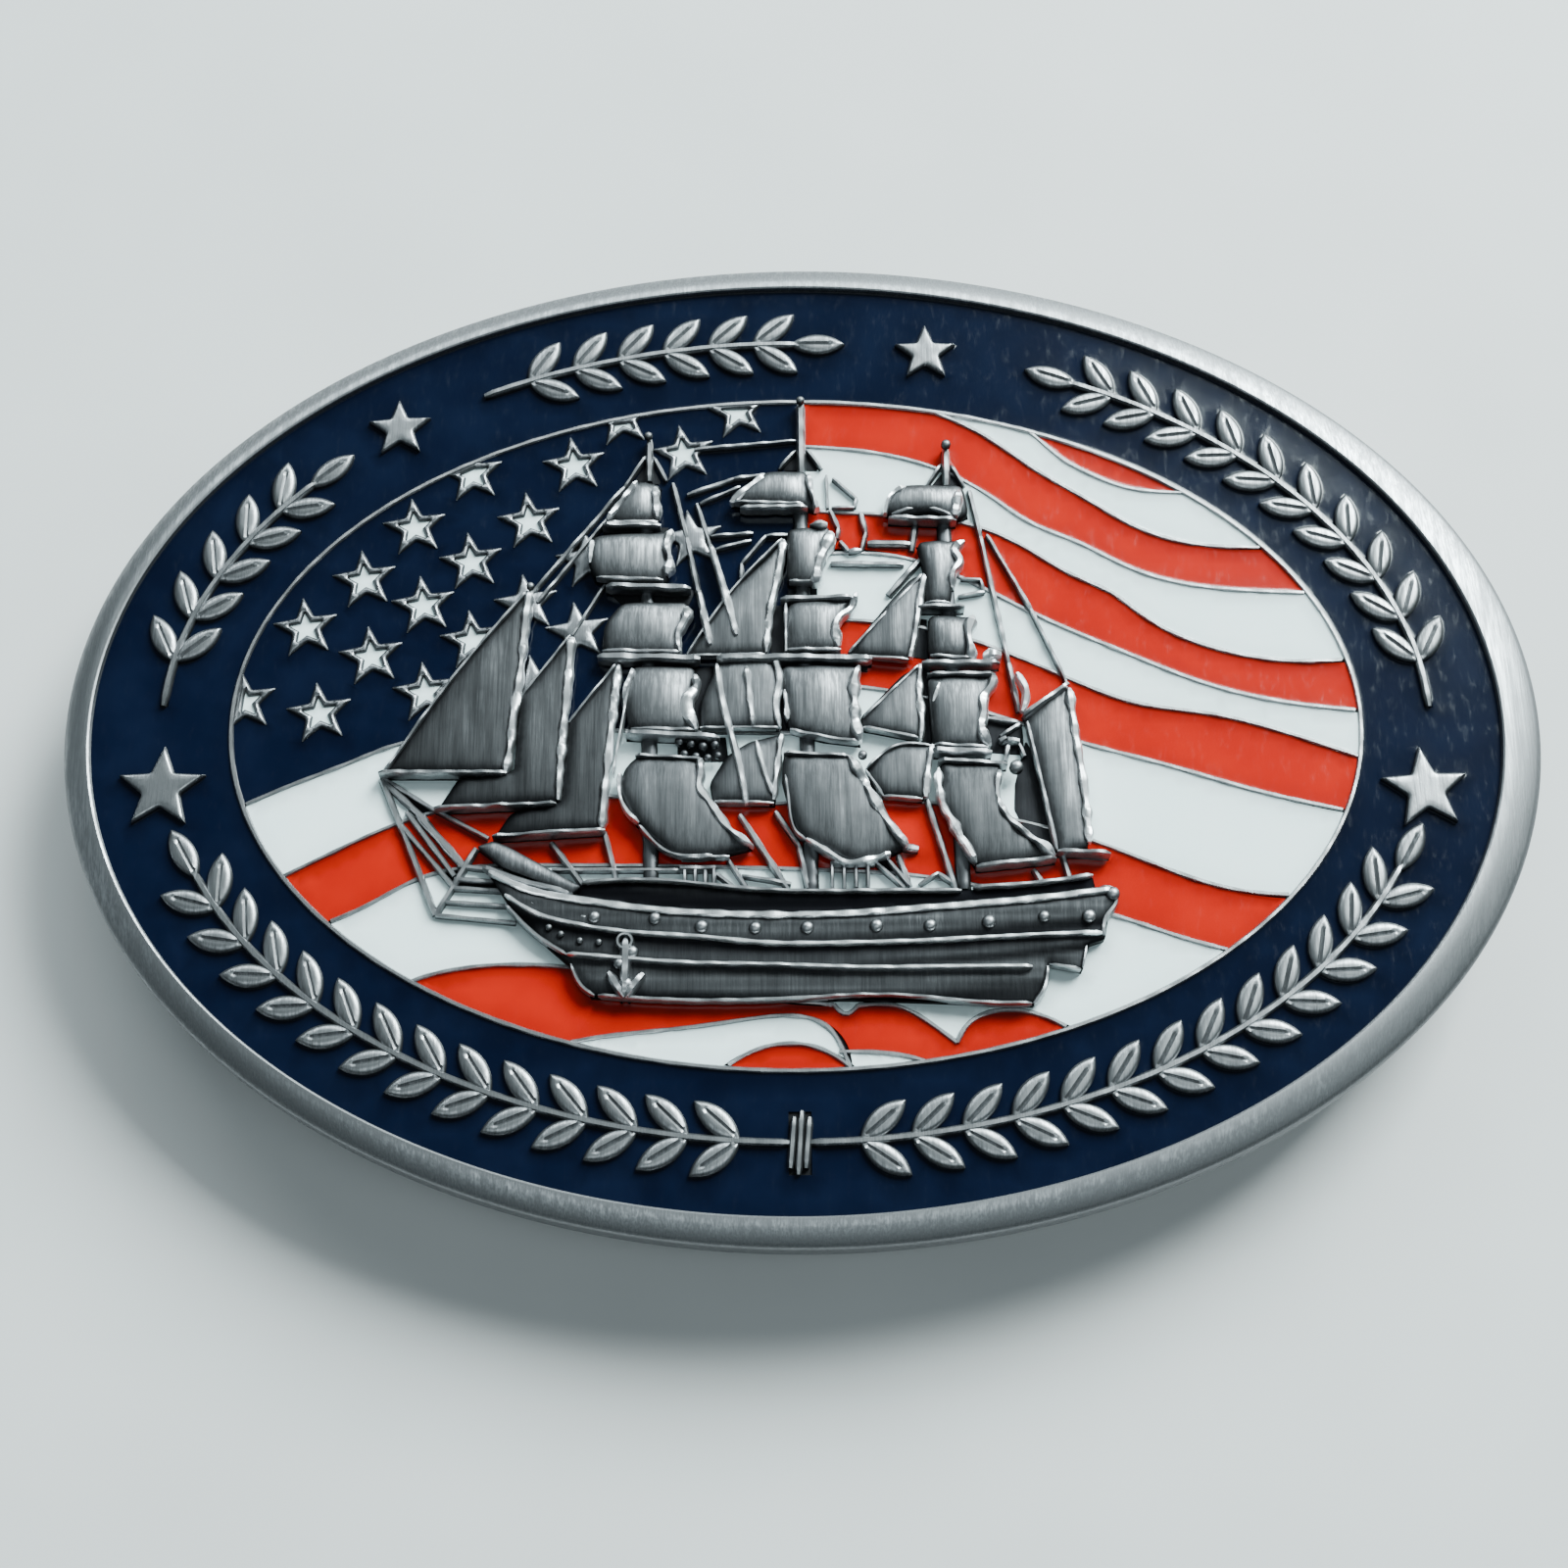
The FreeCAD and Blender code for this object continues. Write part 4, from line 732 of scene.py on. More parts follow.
# Turned edges of the jibs and stay sails: leeches that catch the light, with painted highlight, then the darker other
# sides.
JIB_LEECHES = [
    ([(-16.2, 8.2), (-16.5, 5), (-16.7, 2), (-17, -0.5), (-17.1, -2.5), (-17.3, -3.7)], 0.42),
    ([(-13.6, 5), (-13.8, 1), (-14, -2), (-14.1, -5.5)], 0.42),
    ([(-10.7, 3.2), (-11, 0), (-11.3, -4), (-11.5, -7.2)], 0.42),
    ([(-0.7, 11.6), (-1, 9.5), (-1.5, 7), (-1.8, 4)], 0.38), ([(-1.3, 3.6), (-1, 2), (-1.2, 0.9), (-1, -0.9)], 0.38),
    ([(-0.9, -1.4), (-1.1, -3), (-1.4, -5.5)], 0.38), ([(8, 9.3), (7.6, 7.5), (7.3, 5.5), (6.9, 3.6)], 0.38),
    ([(7.5, 3.1), (7.4, 1), (7.5, -0.8), (7.4, -1.7)], 0.38), ([(8.1, -2.1), (7.8, -3.5), (7.6, -5.4)], 0.38),
    ([(16.4, 1.5), (16.7, -2), (17, -5), (17.1, -8.3)], 0.45),
]
JIB_EDGES = [
    ([(-24.5, -3.7), (-17.4, -3.8)], 0.28), ([(-24.4, -3.5), (-20.3, 3), (-16.4, 8.2)], 0.26),
    ([(-21.2, -6), (-14.2, -5.7)], 0.25), ([(-17.8, -7.8), (-11.6, -7.4)], 0.28),
    ([(-16.5, 1.2), (-13.7, 5.2)], 0.24), ([(-13.6, -0.5), (-10.8, 3.4)], 0.24), ([(-6.7, 3.8), (-1.9, 3.9)], 0.22),
    ([(3.1, 3.8), (6.8, 3.5)], 0.22), ([(-6.6, 3.9), (-3.7, 8.4), (-0.8, 11.7)], 0.22),
    ([(3.2, 4), (7.9, 9.3)], 0.24), ([(4, -0.9), (7.3, -1.6)], 0.25), ([(4, -0.3), (7.4, 3.1)], 0.22),
    ([(5.1, -5.3), (7.4, -5.5)], 0.25), ([(4.1, -3.6), (6, -2.1), (8, -2.1)], 0.22),
    ([(4.1, -3.7), (5.1, -5.3)], 0.22), ([(-4.9, -5.6), (-1.4, -5.7)], 0.25), ([(13.7, -0.4), (16.2, 1.7)], 0.24),
    ([(13.8, -0.6), (14.4, -4), (15.2, -8.7)], 0.3), ([(-5.8, -0.9), (-1, -0.9)], 0.2),
]
# Ropes that cross in front of the stay sails, painted bright as highlights.
FRONT_ROPES = [
    ([(-4.8, 3.2), (-4.4, 0.6), (-4, -1), (-3.4, -3.5), (-3, -5.8)], 0.4), ([(-3, 3), (-2.8, 1), (-2.6, -0.8)], 0.36),
    ([(-2.4, -1.8), (-1.7, -4.5), (-1.4, -5.3)], 0.32), ([(-5.9, 8.1), (-5.2, 4.5)], 0.42),
    ([(-5.2, 11.2), (-4.3, 8), (-3.6, 5.1)], 0.42), ([(13.3, 2.5), (13.8, 1), (13.5, 0)], 0.5),
    ([(-9.9, 2.9), (-10.9, -4)], 0.2),
]
# Wales along the hull, bright with rubbed tops and painted highlight: path, width.
WALES = [
    ([(-18, -10), (-16, -11), (-13, -11.7), (-8, -12.4), (-3, -12.7), (2, -12.7), (8, -12.3), (13, -11.9),
     (18.2, -11.3)], 0.46),
    ([(-17, -11.4), (-15.5, -12.4), (-13, -13.2), (-10, -13.7), (-6, -14), (-2, -14.4), (2, -14.45), (8, -14.3),
     (12, -14.1), (17.5, -13.9)], 0.3),
    ([(-13.3, -15), (-10, -15.3), (-6, -15.6), (-2, -15.7), (3, -15.9), (8, -15.9), (13.4, -15.9)], 0.3),
]
# Outline of the hull and the short rails near the bow.
HULL_EDGES = [
    ([(-11.5, -17.4), (-9, -17.6), (0.5, -17.6), (6, -17.5), (10, -17.9), (13.3, -18)], 0.26),
    ([(-12.6, -10.6), (-10, -10.45), (-6, -10.7), (-2, -11.1), (4, -11.2), (9.5, -11.2)], 0.28),
    ([(10.2, -11), (13.6, -10.8), (17.2, -10.3)], 0.3), ([(-17, -11.9), (-15, -13.9), (-13.3, -15)], 0.28),
    ([(-13.1, -15.5), (-12.3, -17), (-11.7, -17.4)], 0.28),
    ([(17.4, -11.2), (18.2, -11.2), (18.45, -11.9), (17.8, -12.9), (17.6, -14)], 0.34),
    ([(14.3, -15.8), (14, -17.2), (13.4, -18)], 0.3), ([(14.4, -15.7), (16.2, -16)], 0.24),
    ([(16.6, -14.6), (16.3, -15.9)], 0.22), ([(-18.4, -9.6), (-16.5, -10.35), (-13.1, -11.2)], 0.4),
    ([(-16.8, -10.75), (-13.2, -11.9)], 0.22), ([(-16.6, -11.3), (-14, -12.4), (-12, -12.8)], 0.22),
]
# Small cells between the sails: outlines of dark metal, bare patina where enamel was never filled, and painted shadow
# below and beside the sails.
BARE_AND_SHADOW_CELLS = [
    [(-10.3, 15.8), (-8.2, 15.8), (-9.1, 17.7)], [(-0.9, 16.7), (1.7, 16.7), (0.7, 18.1), (0.1, 18.1)],
    [(8.3, 15.4), (10.6, 15.4), (9.6, 17.1)], [(-0.6, 7.4), (1.4, 7.5), (1.4, 8.6), (-0.5, 8.6)],
    [(-6.2, 3.3), (-4.8, 3.5), (-5.4, 0.9), (-5.7, -1.0), (-6.2, -1.0), (-6.4, 0.9)],
    [(12.9, -4.4), (13.7, -1.4), (14.3, -2.5), (14.8, -5), (15.4, -8.9), (14.4, -8.7), (13.4, -7.4), (12.8, -6.0)],
    [(-9.2, 3.3), (-5.8, 3.3), (-5.8, 3.9), (-9.2, 3.9)], [(-0.9, 2.9), (4.4, 2.9), (4.4, 4.1), (-0.9, 4.1)],
    [(-10, 12.3), (-7.8, 12.3), (-7.8, 12.9), (-10, 12.9)], [(-6.5, 7.4), (-6.0, 8.6), (-11.8, 8.6), (-10.5, 7.3)],
    [(-7.2, -1.2), (-4.2, -1.2), (-4.0, -2.9), (-7.2, -2.9)], [(6.8, 3.9), (8.1, 3.7), (8.1, 6.5), (7.4, 6.6)],
    [(7.3, 3.3), (8.2, 3.1), (8.3, -2.1), (7.4, -1.8)], [(-1.7, 7.5), (-0.5, 7.5), (-0.6, 3.9), (-1.6, 3.9)],
    [(-1.3, 3.2), (-0.7, 3.2), (-0.5, -1.1), (-1.1, -1.1)], [(11.0, -0.3), (13.6, -0.2), (13.7, -2.6), (11.4, -2.4)],
]
# Bosses along the gun strake, and smaller ones at the hawse: x, y, radius.
HULL_BOSSES = [
    (-11.8, -12.8, 0.38), (-8.3, -12.9, 0.38), (-5.6, -13.4, 0.4), (-2.5, -13.5, 0.38), (0.5, -13.5, 0.4),
    (4.5, -13.4, 0.4), (7.6, -13.4, 0.38), (11, -13.2, 0.42), (14.2, -12.9, 0.36), (16.8, -12.9, 0.42),
    (-12.6, -14.2, 0.2), (-11.5, -14.3, 0.2), (-14.4, -13.4, 0.2), (-13.7, -13.8, 0.2), (13, -3.6, 0.42),
    (3.9, -2.8, 0.28), (18.25, -11.55, 0.42), (-16.2, 8.4, 0.25), (-9.15, 18.8, 0.26), (9.5, 18.1, 0.3),
    (0.4, 21.3, 0.26), (-9.9, -16.8, 0.42), (-9.6, -14.9, 0.4), (-10.3, -15.6, 0.36),
]
# Dark deadeyes under the fore yard: x, y, radius.
DEADEYES = [
    (-7, -1.8, 0.28), (-6.3, -1.95, 0.26), (-5.6, -2.1, 0.28), (-4.9, -2.0, 0.26), (-6.7, -2.6, 0.24),
    (-6.0, -2.75, 0.24), (-5.3, -2.85, 0.24), (-4.7, -2.7, 0.22),
]
# Rails with hanging pins by the mast feet, as straight parts.
PIN_RAILS = [
    (-6.9, -9.7, -4.8, -9.7, 0.36), (-6.6, -9.8, -6.6, -10.7, 0.3), (-6.0, -9.8, -6.0, -10.7, 0.3),
    (-5.4, -9.8, -5.4, -10.7, 0.3), (-4.9, -9.8, -4.9, -10.7, 0.26), (1.9, -9.45, 4.5, -9.45, 0.3),
    (2.0, -9.5, 2.0, -11.0, 0.26), (2.7, -9.5, 2.7, -11.0, 0.26), (3.4, -9.5, 3.4, -11.0, 0.26),
    (4.1, -9.5, 4.1, -11.0, 0.26), (12.1, -1.8, 12.5, -1.6, 0.4), (12.6, -1.7, 13.3, -1.8, 0.4),
]


# ---------------------------------------------------------------- heights
def casting_top(high, round_over=0.14):
    """Flat brushed top with a softly rounded edge."""
    def top(points, gap, toward):
        return high - 0.22 * np.exp(-gap / round_over)
    return top


def sail_top(high, fullness, tilt=(0.0, 0.0)):
    """Cloth full of wind: fullest a little left of the middle, with shallow vertical folds."""
    def top(points, gap, toward):
        middle = (points.min(0) + points.max(0)) / 2
        reach = (points.max(0) - points.min(0)) / 2 + 0.01
        local = (points - middle) / reach
        belly = 1 - np.clip((local[:, 0] + 0.1) ** 2 * 0.8 + (local[:, 1] + 0.1) ** 2 * 0.7, 0, 1)
        folds = np.array([noise.noise(Vector((x * 1.1, y * 0.25, 2.0))) for x, y in points])
        lean = local[:, 0] * tilt[0] + local[:, 1] * tilt[1]
        return high - 0.25 * np.exp(-gap / 0.16) + fullness * belly + 0.05 * folds + lean
    return top


def below_wale(points):
    """How far each point lies below the main wale."""
    line = np.array(WALES[0][0])
    return np.interp(points[:, 0], line[:, 0], line[:, 1]) - points[:, 1]


def hull_top(points, gap, toward):
    """Bulwark hollow between rails, tumblehome of the side, then the run of the bottom."""
    depth = below_wale(points)
    side = np.interp(depth, [-2.0, -0.3, 0.0, 0.4, 1.4, 1.9, 3.0, 3.3, 4.6, 5.4],
                     [0.62, 0.5, 0.9, 1.02, 0.95, 0.8, 0.86, 0.72, 0.74, 0.6])
    plank = 0.015 * np.sin(points[:, 1] * 9)
    return ENAMEL_Z + side + plank - 0.2 * np.exp(-gap / 0.14)


def hull_patina_and_shade(points, gap, toward):
    """Patina and painted shade: darkest in the bulwark hollow under the rail and under each wale, dark along the keel
    and at the edges.
    """
    depth = below_wale(points)
    dark = np.interp(depth, [-2.0, -1.0, -0.2, 0.2, 0.5, 1.2, 1.6, 1.9, 2.9, 3.2, 3.6, 4.6, 5.2],
                     [0.55, 1.0, 1.0, 0.75, 0.3, 0.4, 0.85, 0.95, 0.6, 0.85, 0.4, 0.35, 0.8])
    return np.clip(dark + 0.4 * np.exp(-gap / 0.2), 0, 1)


def sail_patina_and_shade(points, gap, toward):
    """Patina dark along the seams, painted shade low down and to the left, away from the light, and darker on the
    lowest sails except the spanker.
    """
    low, high = points.min(0), points.max(0)
    local = (points - low) / (high - low)
    # painted shade toward each sail's lower left, away from the light
    corner = np.clip(1.15 - local[:, 0] * 0.6 - local[:, 1] * 1.1, 0, 1)
    deck = np.interp(low[1], [-9.0, -1.5, 8.0], [0.34, 0.12, 0.0]) if low[0] < 13 else 0.0
    return np.clip(0.8 * np.exp(-gap / 0.2) + 0.35 * np.exp(-gap / 0.7) + 0.3 * corner + deck, 0, 1)


def raised(name, lines, low, high, material, wobble=0.25, taper=0.55, broad=1.0):
    """Several mouldings that make one named piece."""
    heap = Heap()
    for points, width in lines:
        bead(heap, smooth_path(points, 0.16), width * broad, low, high, taper, wobble)
    return heap.piece(name, material)


def inner_part(path, a, b):
    """The part of a line that lies inside an oval."""
    return path[(path[:, 0] / a) ** 2 + (path[:, 1] / b) ** 2 < 1]


# ---------------------------------------------------------------- the casting
def sweep_oval(name, section, material, count=420, **more):
    """Closed section (a, b, z, x) swept round the oval; a and b are its half axes at that point."""
    turn = np.linspace(0, 2 * math.pi, count, endpoint=False)
    points = [(x + a * math.cos(t), b * math.sin(t), z) for t in turn for a, b, z, x in section]
    return make_piece(name, points, bands(count, len(section), closed=True), material, "pewter", crease=30, **more)


def oval_disc(name, a, b, low, high, x, material, rings=26, count=240):
    """Flat oval plate between two levels."""
    turn = np.linspace(0, 2 * math.pi, count, endpoint=False)
    shares = np.linspace(1 / rings, 1, rings)
    levels = [(s, high) for s in shares] + [(s, low) for s in np.linspace(1, 1 / rings, rings)]
    points = [(x + a * s * math.cos(t), b * s * math.sin(t), z) for s, z in levels for t in turn]
    faces = bands(len(levels), count)
    top, bottom = len(points), len(points) + 1
    points += [(x, 0, high), (x, 0, low)]
    last = (len(levels) - 1) * count
    for i in range(count):
        n = (i + 1) % count
        faces.append((top, i, n))
        faces.append((bottom, last + n, last + i))
    return make_piece(name, points, faces, material, "pewter", crease=30)


def build_rim():
    """Rim, edge and the outer ring of the back in one sweep: a, b, height, shift along X."""
    back = BACK_Z
    shoulder = RIM_Z - RIM_DROP
    section = [
        (39.0, 26.4, back, 0.0), (38.85, 26.25, back + 0.12, 0.0), (38.8, 26.2, ENAMEL_Z - 1.2, 0.0),
        (42.3, 29.9, FLOOR_Z - 0.3, DESIGN_X), (42.32, 29.95, ENAMEL_Z - 0.05, DESIGN_X),
        (42.33, 29.97, RIM_Z - 0.22, DESIGN_X), (42.38, 30.01, RIM_Z - 0.08, DESIGN_X),
        (42.48, 30.1, RIM_Z - 0.01, DESIGN_X), (42.62, 30.26, RIM_Z - 0.015, DESIGN_X * 0.93),
        (43.1, 30.65, RIM_Z - 0.13, DESIGN_X * 0.7), (43.7, 31.12, RIM_Z - 0.34, DESIGN_X * 0.35),
        (44.1, 31.44, shoulder + 0.14, DESIGN_X * 0.1), (PLATE_A - 0.14, PLATE_B - 0.12, shoulder + 0.02, 0.0),
        (PLATE_A - 0.03, PLATE_B - 0.03, shoulder - 0.12, 0.0), (PLATE_A, PLATE_B, shoulder - 0.35, 0.0),
        (PLATE_A, PLATE_B, back + 0.45, 0.0), (PLATE_A - 0.12, PLATE_B - 0.12, back + 0.14, 0.0),
        (PLATE_A - 0.4, PLATE_B - 0.4, back, 0.0), (42.0, 29.4, back, 0.0), (40.5, 27.9, back, 0.0),
    ]
    return sweep_oval("rim", section[::-1], RIM_METAL, replaces=("plate_casting",))


def build_field():
    """Sunk field, back panel, the thin oval ring and the walls between the stripes."""
    oval_disc("back_panel", 39.1, 26.5, PANEL_Z, ENAMEL_Z - 1.0, 0.0, BACK_METAL)
    oval_disc("sunk_field", 42.31, 29.94, ENAMEL_Z - 1.1, FLOOR_Z, DESIGN_X, PATINA)
    ring = Heap()
    bead(ring, ellipse_loop(RING_A, RING_B, 520), RING_WIDTH, ROOT_Z, WALL_Z + 0.03, wobble=0.18, closed=True)
    ring.piece("design_ring", WALL_METAL)
    walls = Heap()
    for points in STRIPE_LINES + [CANTON_FOOT, CANTON_SIDE]:
        path = inner_part(smooth_path(points, 0.3), RING_A, RING_B)
        bead(walls, path, WALL_WIDTH, ROOT_Z, WALL_Z, 1.0, 0.25)
    walls.piece("stripe_walls", WALL_METAL)


def build_flag_stars():
    """Stars of the flag, most with an opening for white enamel."""
    heap = Heap()
    for spot in FILLED_STARS + BARE_STARS:
        loops = [inner_part(closed_loop(star_points(spot, STAR_R, STAR_WAIST, STAR_TILT), 0.2, 0.14), RING_A, RING_B)]
        if spot in FILLED_STARS:
            hole = closed_loop(star_points(spot, STAR_FILL_R, STAR_WAIST, STAR_TILT), 0.15, 0.05)
            loops.append(inner_part(hole, RING_A * 0.985, RING_B * 0.985))
        relief(heap, loops, ROOT_Z, casting_top(WALL_Z + 0.14, 0.1), 0.35, (0.07, 0.16))
    heap.piece("flag_stars", STAR_METAL)


def build_border_stars():
    """Four bare stars that stand in the border."""
    for number, (middle, radius, lean) in enumerate(BORDER_STARS, 1):
        heap = Heap()
        loop = closed_loop(star_points(middle, radius, STAR_WAIST, lean), 0.16, 0.14)
        relief(heap, [loop], ROOT_Z, casting_top(RIM_Z + 0.03, 0.06), 0.3, (0.05, 0.12, 0.22))
        heap.piece(f"border_star_{number}", BORDER_STAR_METAL)


# ---------------------------------------------------------------- repeats
def repeat_group():
    """Copies of a shape on points, each turned and sized by the point's own values."""
    group = bpy.data.node_groups.new("CopiesOnPoints", "GeometryNodeTree")
    face = group.interface
    face.new_socket("Geometry", in_out="INPUT", socket_type="NodeSocketGeometry")
    face.new_socket("Shape", in_out="INPUT", socket_type="NodeSocketObject")
    face.new_socket("Overall Size", in_out="INPUT", socket_type="NodeSocketFloat").default_value = 1.0
    face.new_socket("Metal", in_out="INPUT", socket_type="NodeSocketMaterial")
    face.new_socket("Geometry", in_out="OUTPUT", socket_type="NodeSocketGeometry")
    nodes = group.nodes
    start, finish, shape, copies, turn, size, total, angles, rotation, real, paint = (nodes.new(kind) for kind in (
        "NodeGroupInput", "NodeGroupOutput", "GeometryNodeObjectInfo", "GeometryNodeInstanceOnPoints",
        "GeometryNodeInputNamedAttribute", "GeometryNodeInputNamedAttribute", "ShaderNodeMath",
        "ShaderNodeCombineXYZ", "FunctionNodeEulerToRotation", "GeometryNodeRealizeInstances",
        "GeometryNodeSetMaterial"))
    turn.inputs["Name"].default_value = "turn"
    size.inputs["Name"].default_value = "size"
    total.operation = "MULTIPLY"
    for source, output, target, entry in (
            (start, "Geometry", copies, "Points"), (start, "Shape", shape, "Object"),
            (shape, "Geometry", copies, "Instance"), (turn, "Attribute", angles, "Z"),
            (angles, "Vector", rotation, "Euler"), (rotation, "Rotation", copies, "Rotation"),
            (size, "Attribute", total, 0), (start, "Overall Size", total, 1), (total, "Value", copies, "Scale"),
            (copies, "Instances", real, "Geometry"), (real, "Geometry", paint, "Geometry"),
            (start, "Metal", paint, "Material"), (paint, "Geometry", finish, "Geometry")):
        group.links.new(source.outputs[output], target.inputs[entry])
    return group


COPIES = repeat_group()


def repeated(name, shape, spots, material):
    """One piece made of copies of a heap's shape at (x, y, z, turn, size)."""
    pattern_mesh = bpy.data.meshes.new(name + "_pattern")
    pattern_mesh.from_pydata(shape.points, [], shape.faces)
    keep_values(pattern_mesh, "edge", shape.edge)
    places_mesh = bpy.data.meshes.new(name + "_places")
    places_mesh.from_pydata([spot[:3] for spot in spots], [], [])
    for key, column in (("turn", 3), ("size", 4)):
        keep_values(places_mesh, key, [spot[column] for spot in spots])
    pattern = put(name + "_pattern", pattern_mesh)
    places = put(name + "_places", places_mesh)
    modifier = places.modifiers.new("Copies", "NODES")
    modifier.node_group = COPIES
    sockets = {item.name: item.identifier for item in COPIES.interface.items_tree if item.in_out == "INPUT"}
    modifier[sockets["Shape"]] = pattern
    modifier[sockets["Overall Size"]] = 1.0
    modifier[sockets["Metal"]] = material
    graph = bpy.context.evaluated_depsgraph_get()
    made = bpy.data.meshes.new_from_object(places.evaluated_get(graph))
    points = [tuple(v.co) for v in made.vertices]
    faces = [tuple(f.vertices) for f in made.polygons]
    edge = [entry.value for entry in made.attributes["edge"].data]
    for helper in (pattern, places):
        bpy.data.objects.remove(helper)
    for mesh in (pattern_mesh, places_mesh, made):
        bpy.data.meshes.remove(mesh)
    return make_piece(name, points, faces, material, "pewter", values={"edge": edge})


# ---------------------------------------------------------------- garland
def band_point(turn):
    """A point on the border's middle oval."""
    return DESIGN_X + MID_A * math.cos(turn), MID_B * math.sin(turn)


def leaf_shape():
    """Laurel leaf lying along +X from its base, with a sunk middle vein."""
    belly = (LEAF_LENGTH / 2, LEAF_WIDTH / 2)
    radius = (belly[0] ** 2 + belly[1] ** 2) / (2 * belly[1])
    half = math.asin(belly[0] / radius)
    swing = np.linspace(-half, half, 22)
    xs = LEAF_LENGTH / 2 + radius * np.sin(swing)
    ys = radius * np.cos(swing) - radius + LEAF_WIDTH / 2
    loop = np.vstack([np.stack([xs, ys], 1), np.stack([xs, -ys], 1)[-2:0:-1]])

    def top(points, gap, toward):
        vein = np.exp(-(points[:, 1] / 0.07) ** 2) * np.clip(points[:, 0] / 0.5, 0, 1)
        vein *= np.clip((LEAF_LENGTH * 0.85 - points[:, 0]) / 0.5, 0, 1)
        return RIM_Z + 0.04 - 0.24 * np.exp(-gap / 0.13) - 0.16 * vein
    heap = Heap()
    relief(heap, [loop], ROOT_Z, top, 0.16, (0.06, 0.14), shift=False)
    return heap


def build_garland():
    """Laurel sprays along the border, and the tie where two of them meet."""
    stems = Heap()
    spots = []
    for tail_deg, tip_deg in SPRAYS:
        turn = math.radians(tail_deg)
        tip = math.radians(tip_deg)
        way = 1 if tip > turn else -1
        stations = []
        while (tip - turn) * way > 0:
            heading = math.atan2(way * MID_B * math.cos(turn), -way * MID_A * math.sin(turn))
            stations.append((*band_point(turn), heading))
            turn += way * LEAF_STEP / math.hypot(MID_A * math.sin(turn), MID_B * math.cos(turn))
        for x, y, heading in stations[1:-1]:
            for lean in (LEAF_ANGLE, -LEAF_ANGLE):
                spots.append((x, y, 0.0, heading + math.radians(lean), 1.0))
        x, y, heading = stations[-1]
        spots.append((x - math.cos(heading) * STEM_WIDTH, y - math.sin(heading) * STEM_WIDTH, 0.0, heading, 1.0))
        bead(stems, smooth_path([(x, y) for x, y, heading in stations], 0.3), STEM_WIDTH, ROOT_Z,
             RIM_Z, 0.7, 0.1, shift=False)
    stems.piece("garland_stems", ORNAMENT_METAL)
    repeated("garland_leaves", leaf_shape(), spots, ORNAMENT_METAL)
    tie = Heap()
    x, y = band_point(math.radians(TIE_ANGLE))
    for k in (-1, 0, 1):
        across = x + k * TIE_SIZE[0] / 3
        reach = TIE_SIZE[1] / 2 - 0.35 * abs(k)
        bead(tie, straight_path([(across - 0.12, y - reach), (across + 0.12, y + reach)], 0.2),
             TIE_SIZE[0] / 3, ROOT_Z, RIM_Z + 0.02, 0.7, 0.1, shift=False)
    tie.piece("garland_tie", ORNAMENT_METAL)


# ---------------------------------------------------------------- enamel
def top_loops(node):
    """Outlines of the flat top faces of a packed enamel node, island by island."""
    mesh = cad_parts[node].data
    spot_of = {}
    flat = []
    index = []
    for vertex in mesh.vertices:
        x, y, z = (round(c / MM, 4) for c in vertex.co)
        key = (x, y, z > ENAMEL_Z - 0.01)
        if key not in spot_of:
            spot_of[key] = len(flat)
            flat.append((x, y, key[2]))
        index.append(spot_of[key])
    tops = []
    for face in mesh.polygons:
        corners = [index[v] for v in face.vertices]
        if all(flat[c][2] for c in corners) and face.normal.z > 0.9:
            tops.append(corners)
    onward = {}
    for a, b in rim_edges(tops):
        onward.setdefault(a, []).append(b)
    loops = []
    while onward:
        start = here = next(iter(onward))
        loop = []
        while here in onward:
            loop.append(flat[here][:2])
            follow = onward[here]
            here, after = follow.pop(), here
            if not follow:
                del onward[after]
            if here == start:
                break
        loops.append(np.array(loop))
    return loops


def grouped(loops):
    """Each outer outline with the holes that lie in it."""
    outers = [loop for loop in loops if signed_area(loop) > 0]
    holes = [loop for loop in loops if signed_area(loop) < 0]
    groups = [[outer] for outer in outers]
    for hole in holes:
        best = None
        for group in groups:
            if inside([group[0]], hole[:1])[0] and (best is None or signed_area(group[0]) < signed_area(best[0])):
                best = group
        if best:
            best.append(hole)
    return groups


def pool_top(points, gap, toward):
    """Enamel creeps up the walls and sags a little between them."""
    return ENAMEL_Z - 0.01 + 0.015 * np.exp(-gap / 0.09)


def wall_shade(points, gap, toward):
    """Deeper colour beside the walls, with painted shadow that is strongest along the upper ones."""
    upward = np.clip(toward[:, 1], 0, 1)
    return np.exp(-gap / 0.4) * (0.35 + 0.6 * upward)


def build_enamel(node, material, slot, spacing):
    """All pools of one packed enamel node as one piece."""
    heap = Heap()
    for group in grouped(top_loops(node)):
        if signed_area(group[0]) < 0.02:
            continue
        loops = [straight_path([tuple(p) for p in loop] + [tuple(loop[0])], 0.4)[:-1] for loop in group]
        relief(heap, loops, ENAMEL_Z - 0.5, pool_top, spacing, (0.08, 0.22), shift=False, shade=wall_shade)
    return make_piece(node + "_pour", heap.points, heap.faces, material, slot, replaces=(node,),
                      values={"edge": heap.edge}, crease=60)


# ---------------------------------------------------------------- ship
def dome_shape(steps=12, rings=4, rise=0.75, root=-0.8):
    """Round boss of radius one on a short stem."""
    points = []
    for k in range(rings):
        tilt = math.radians(90 * k / rings)
        for i in range(steps):
            turn = 2 * math.pi * i / steps
            points.append((math.cos(tilt) * math.cos(turn), math.cos(tilt) * math.sin(turn), rise * math.sin(tilt)))
    points = [(x, y, root) for x, y, _ in points[:steps]] + points + [(0, 0, rise)]
    faces = [tuple(range(steps))[::-1]] + bands(rings + 1, steps, turned=True)
    faces += [(rings * steps + i, rings * steps + (i + 1) % steps, len(points) - 1) for i in range(steps)]
    dome = Heap()
    dome.add(points, faces)
    return dome


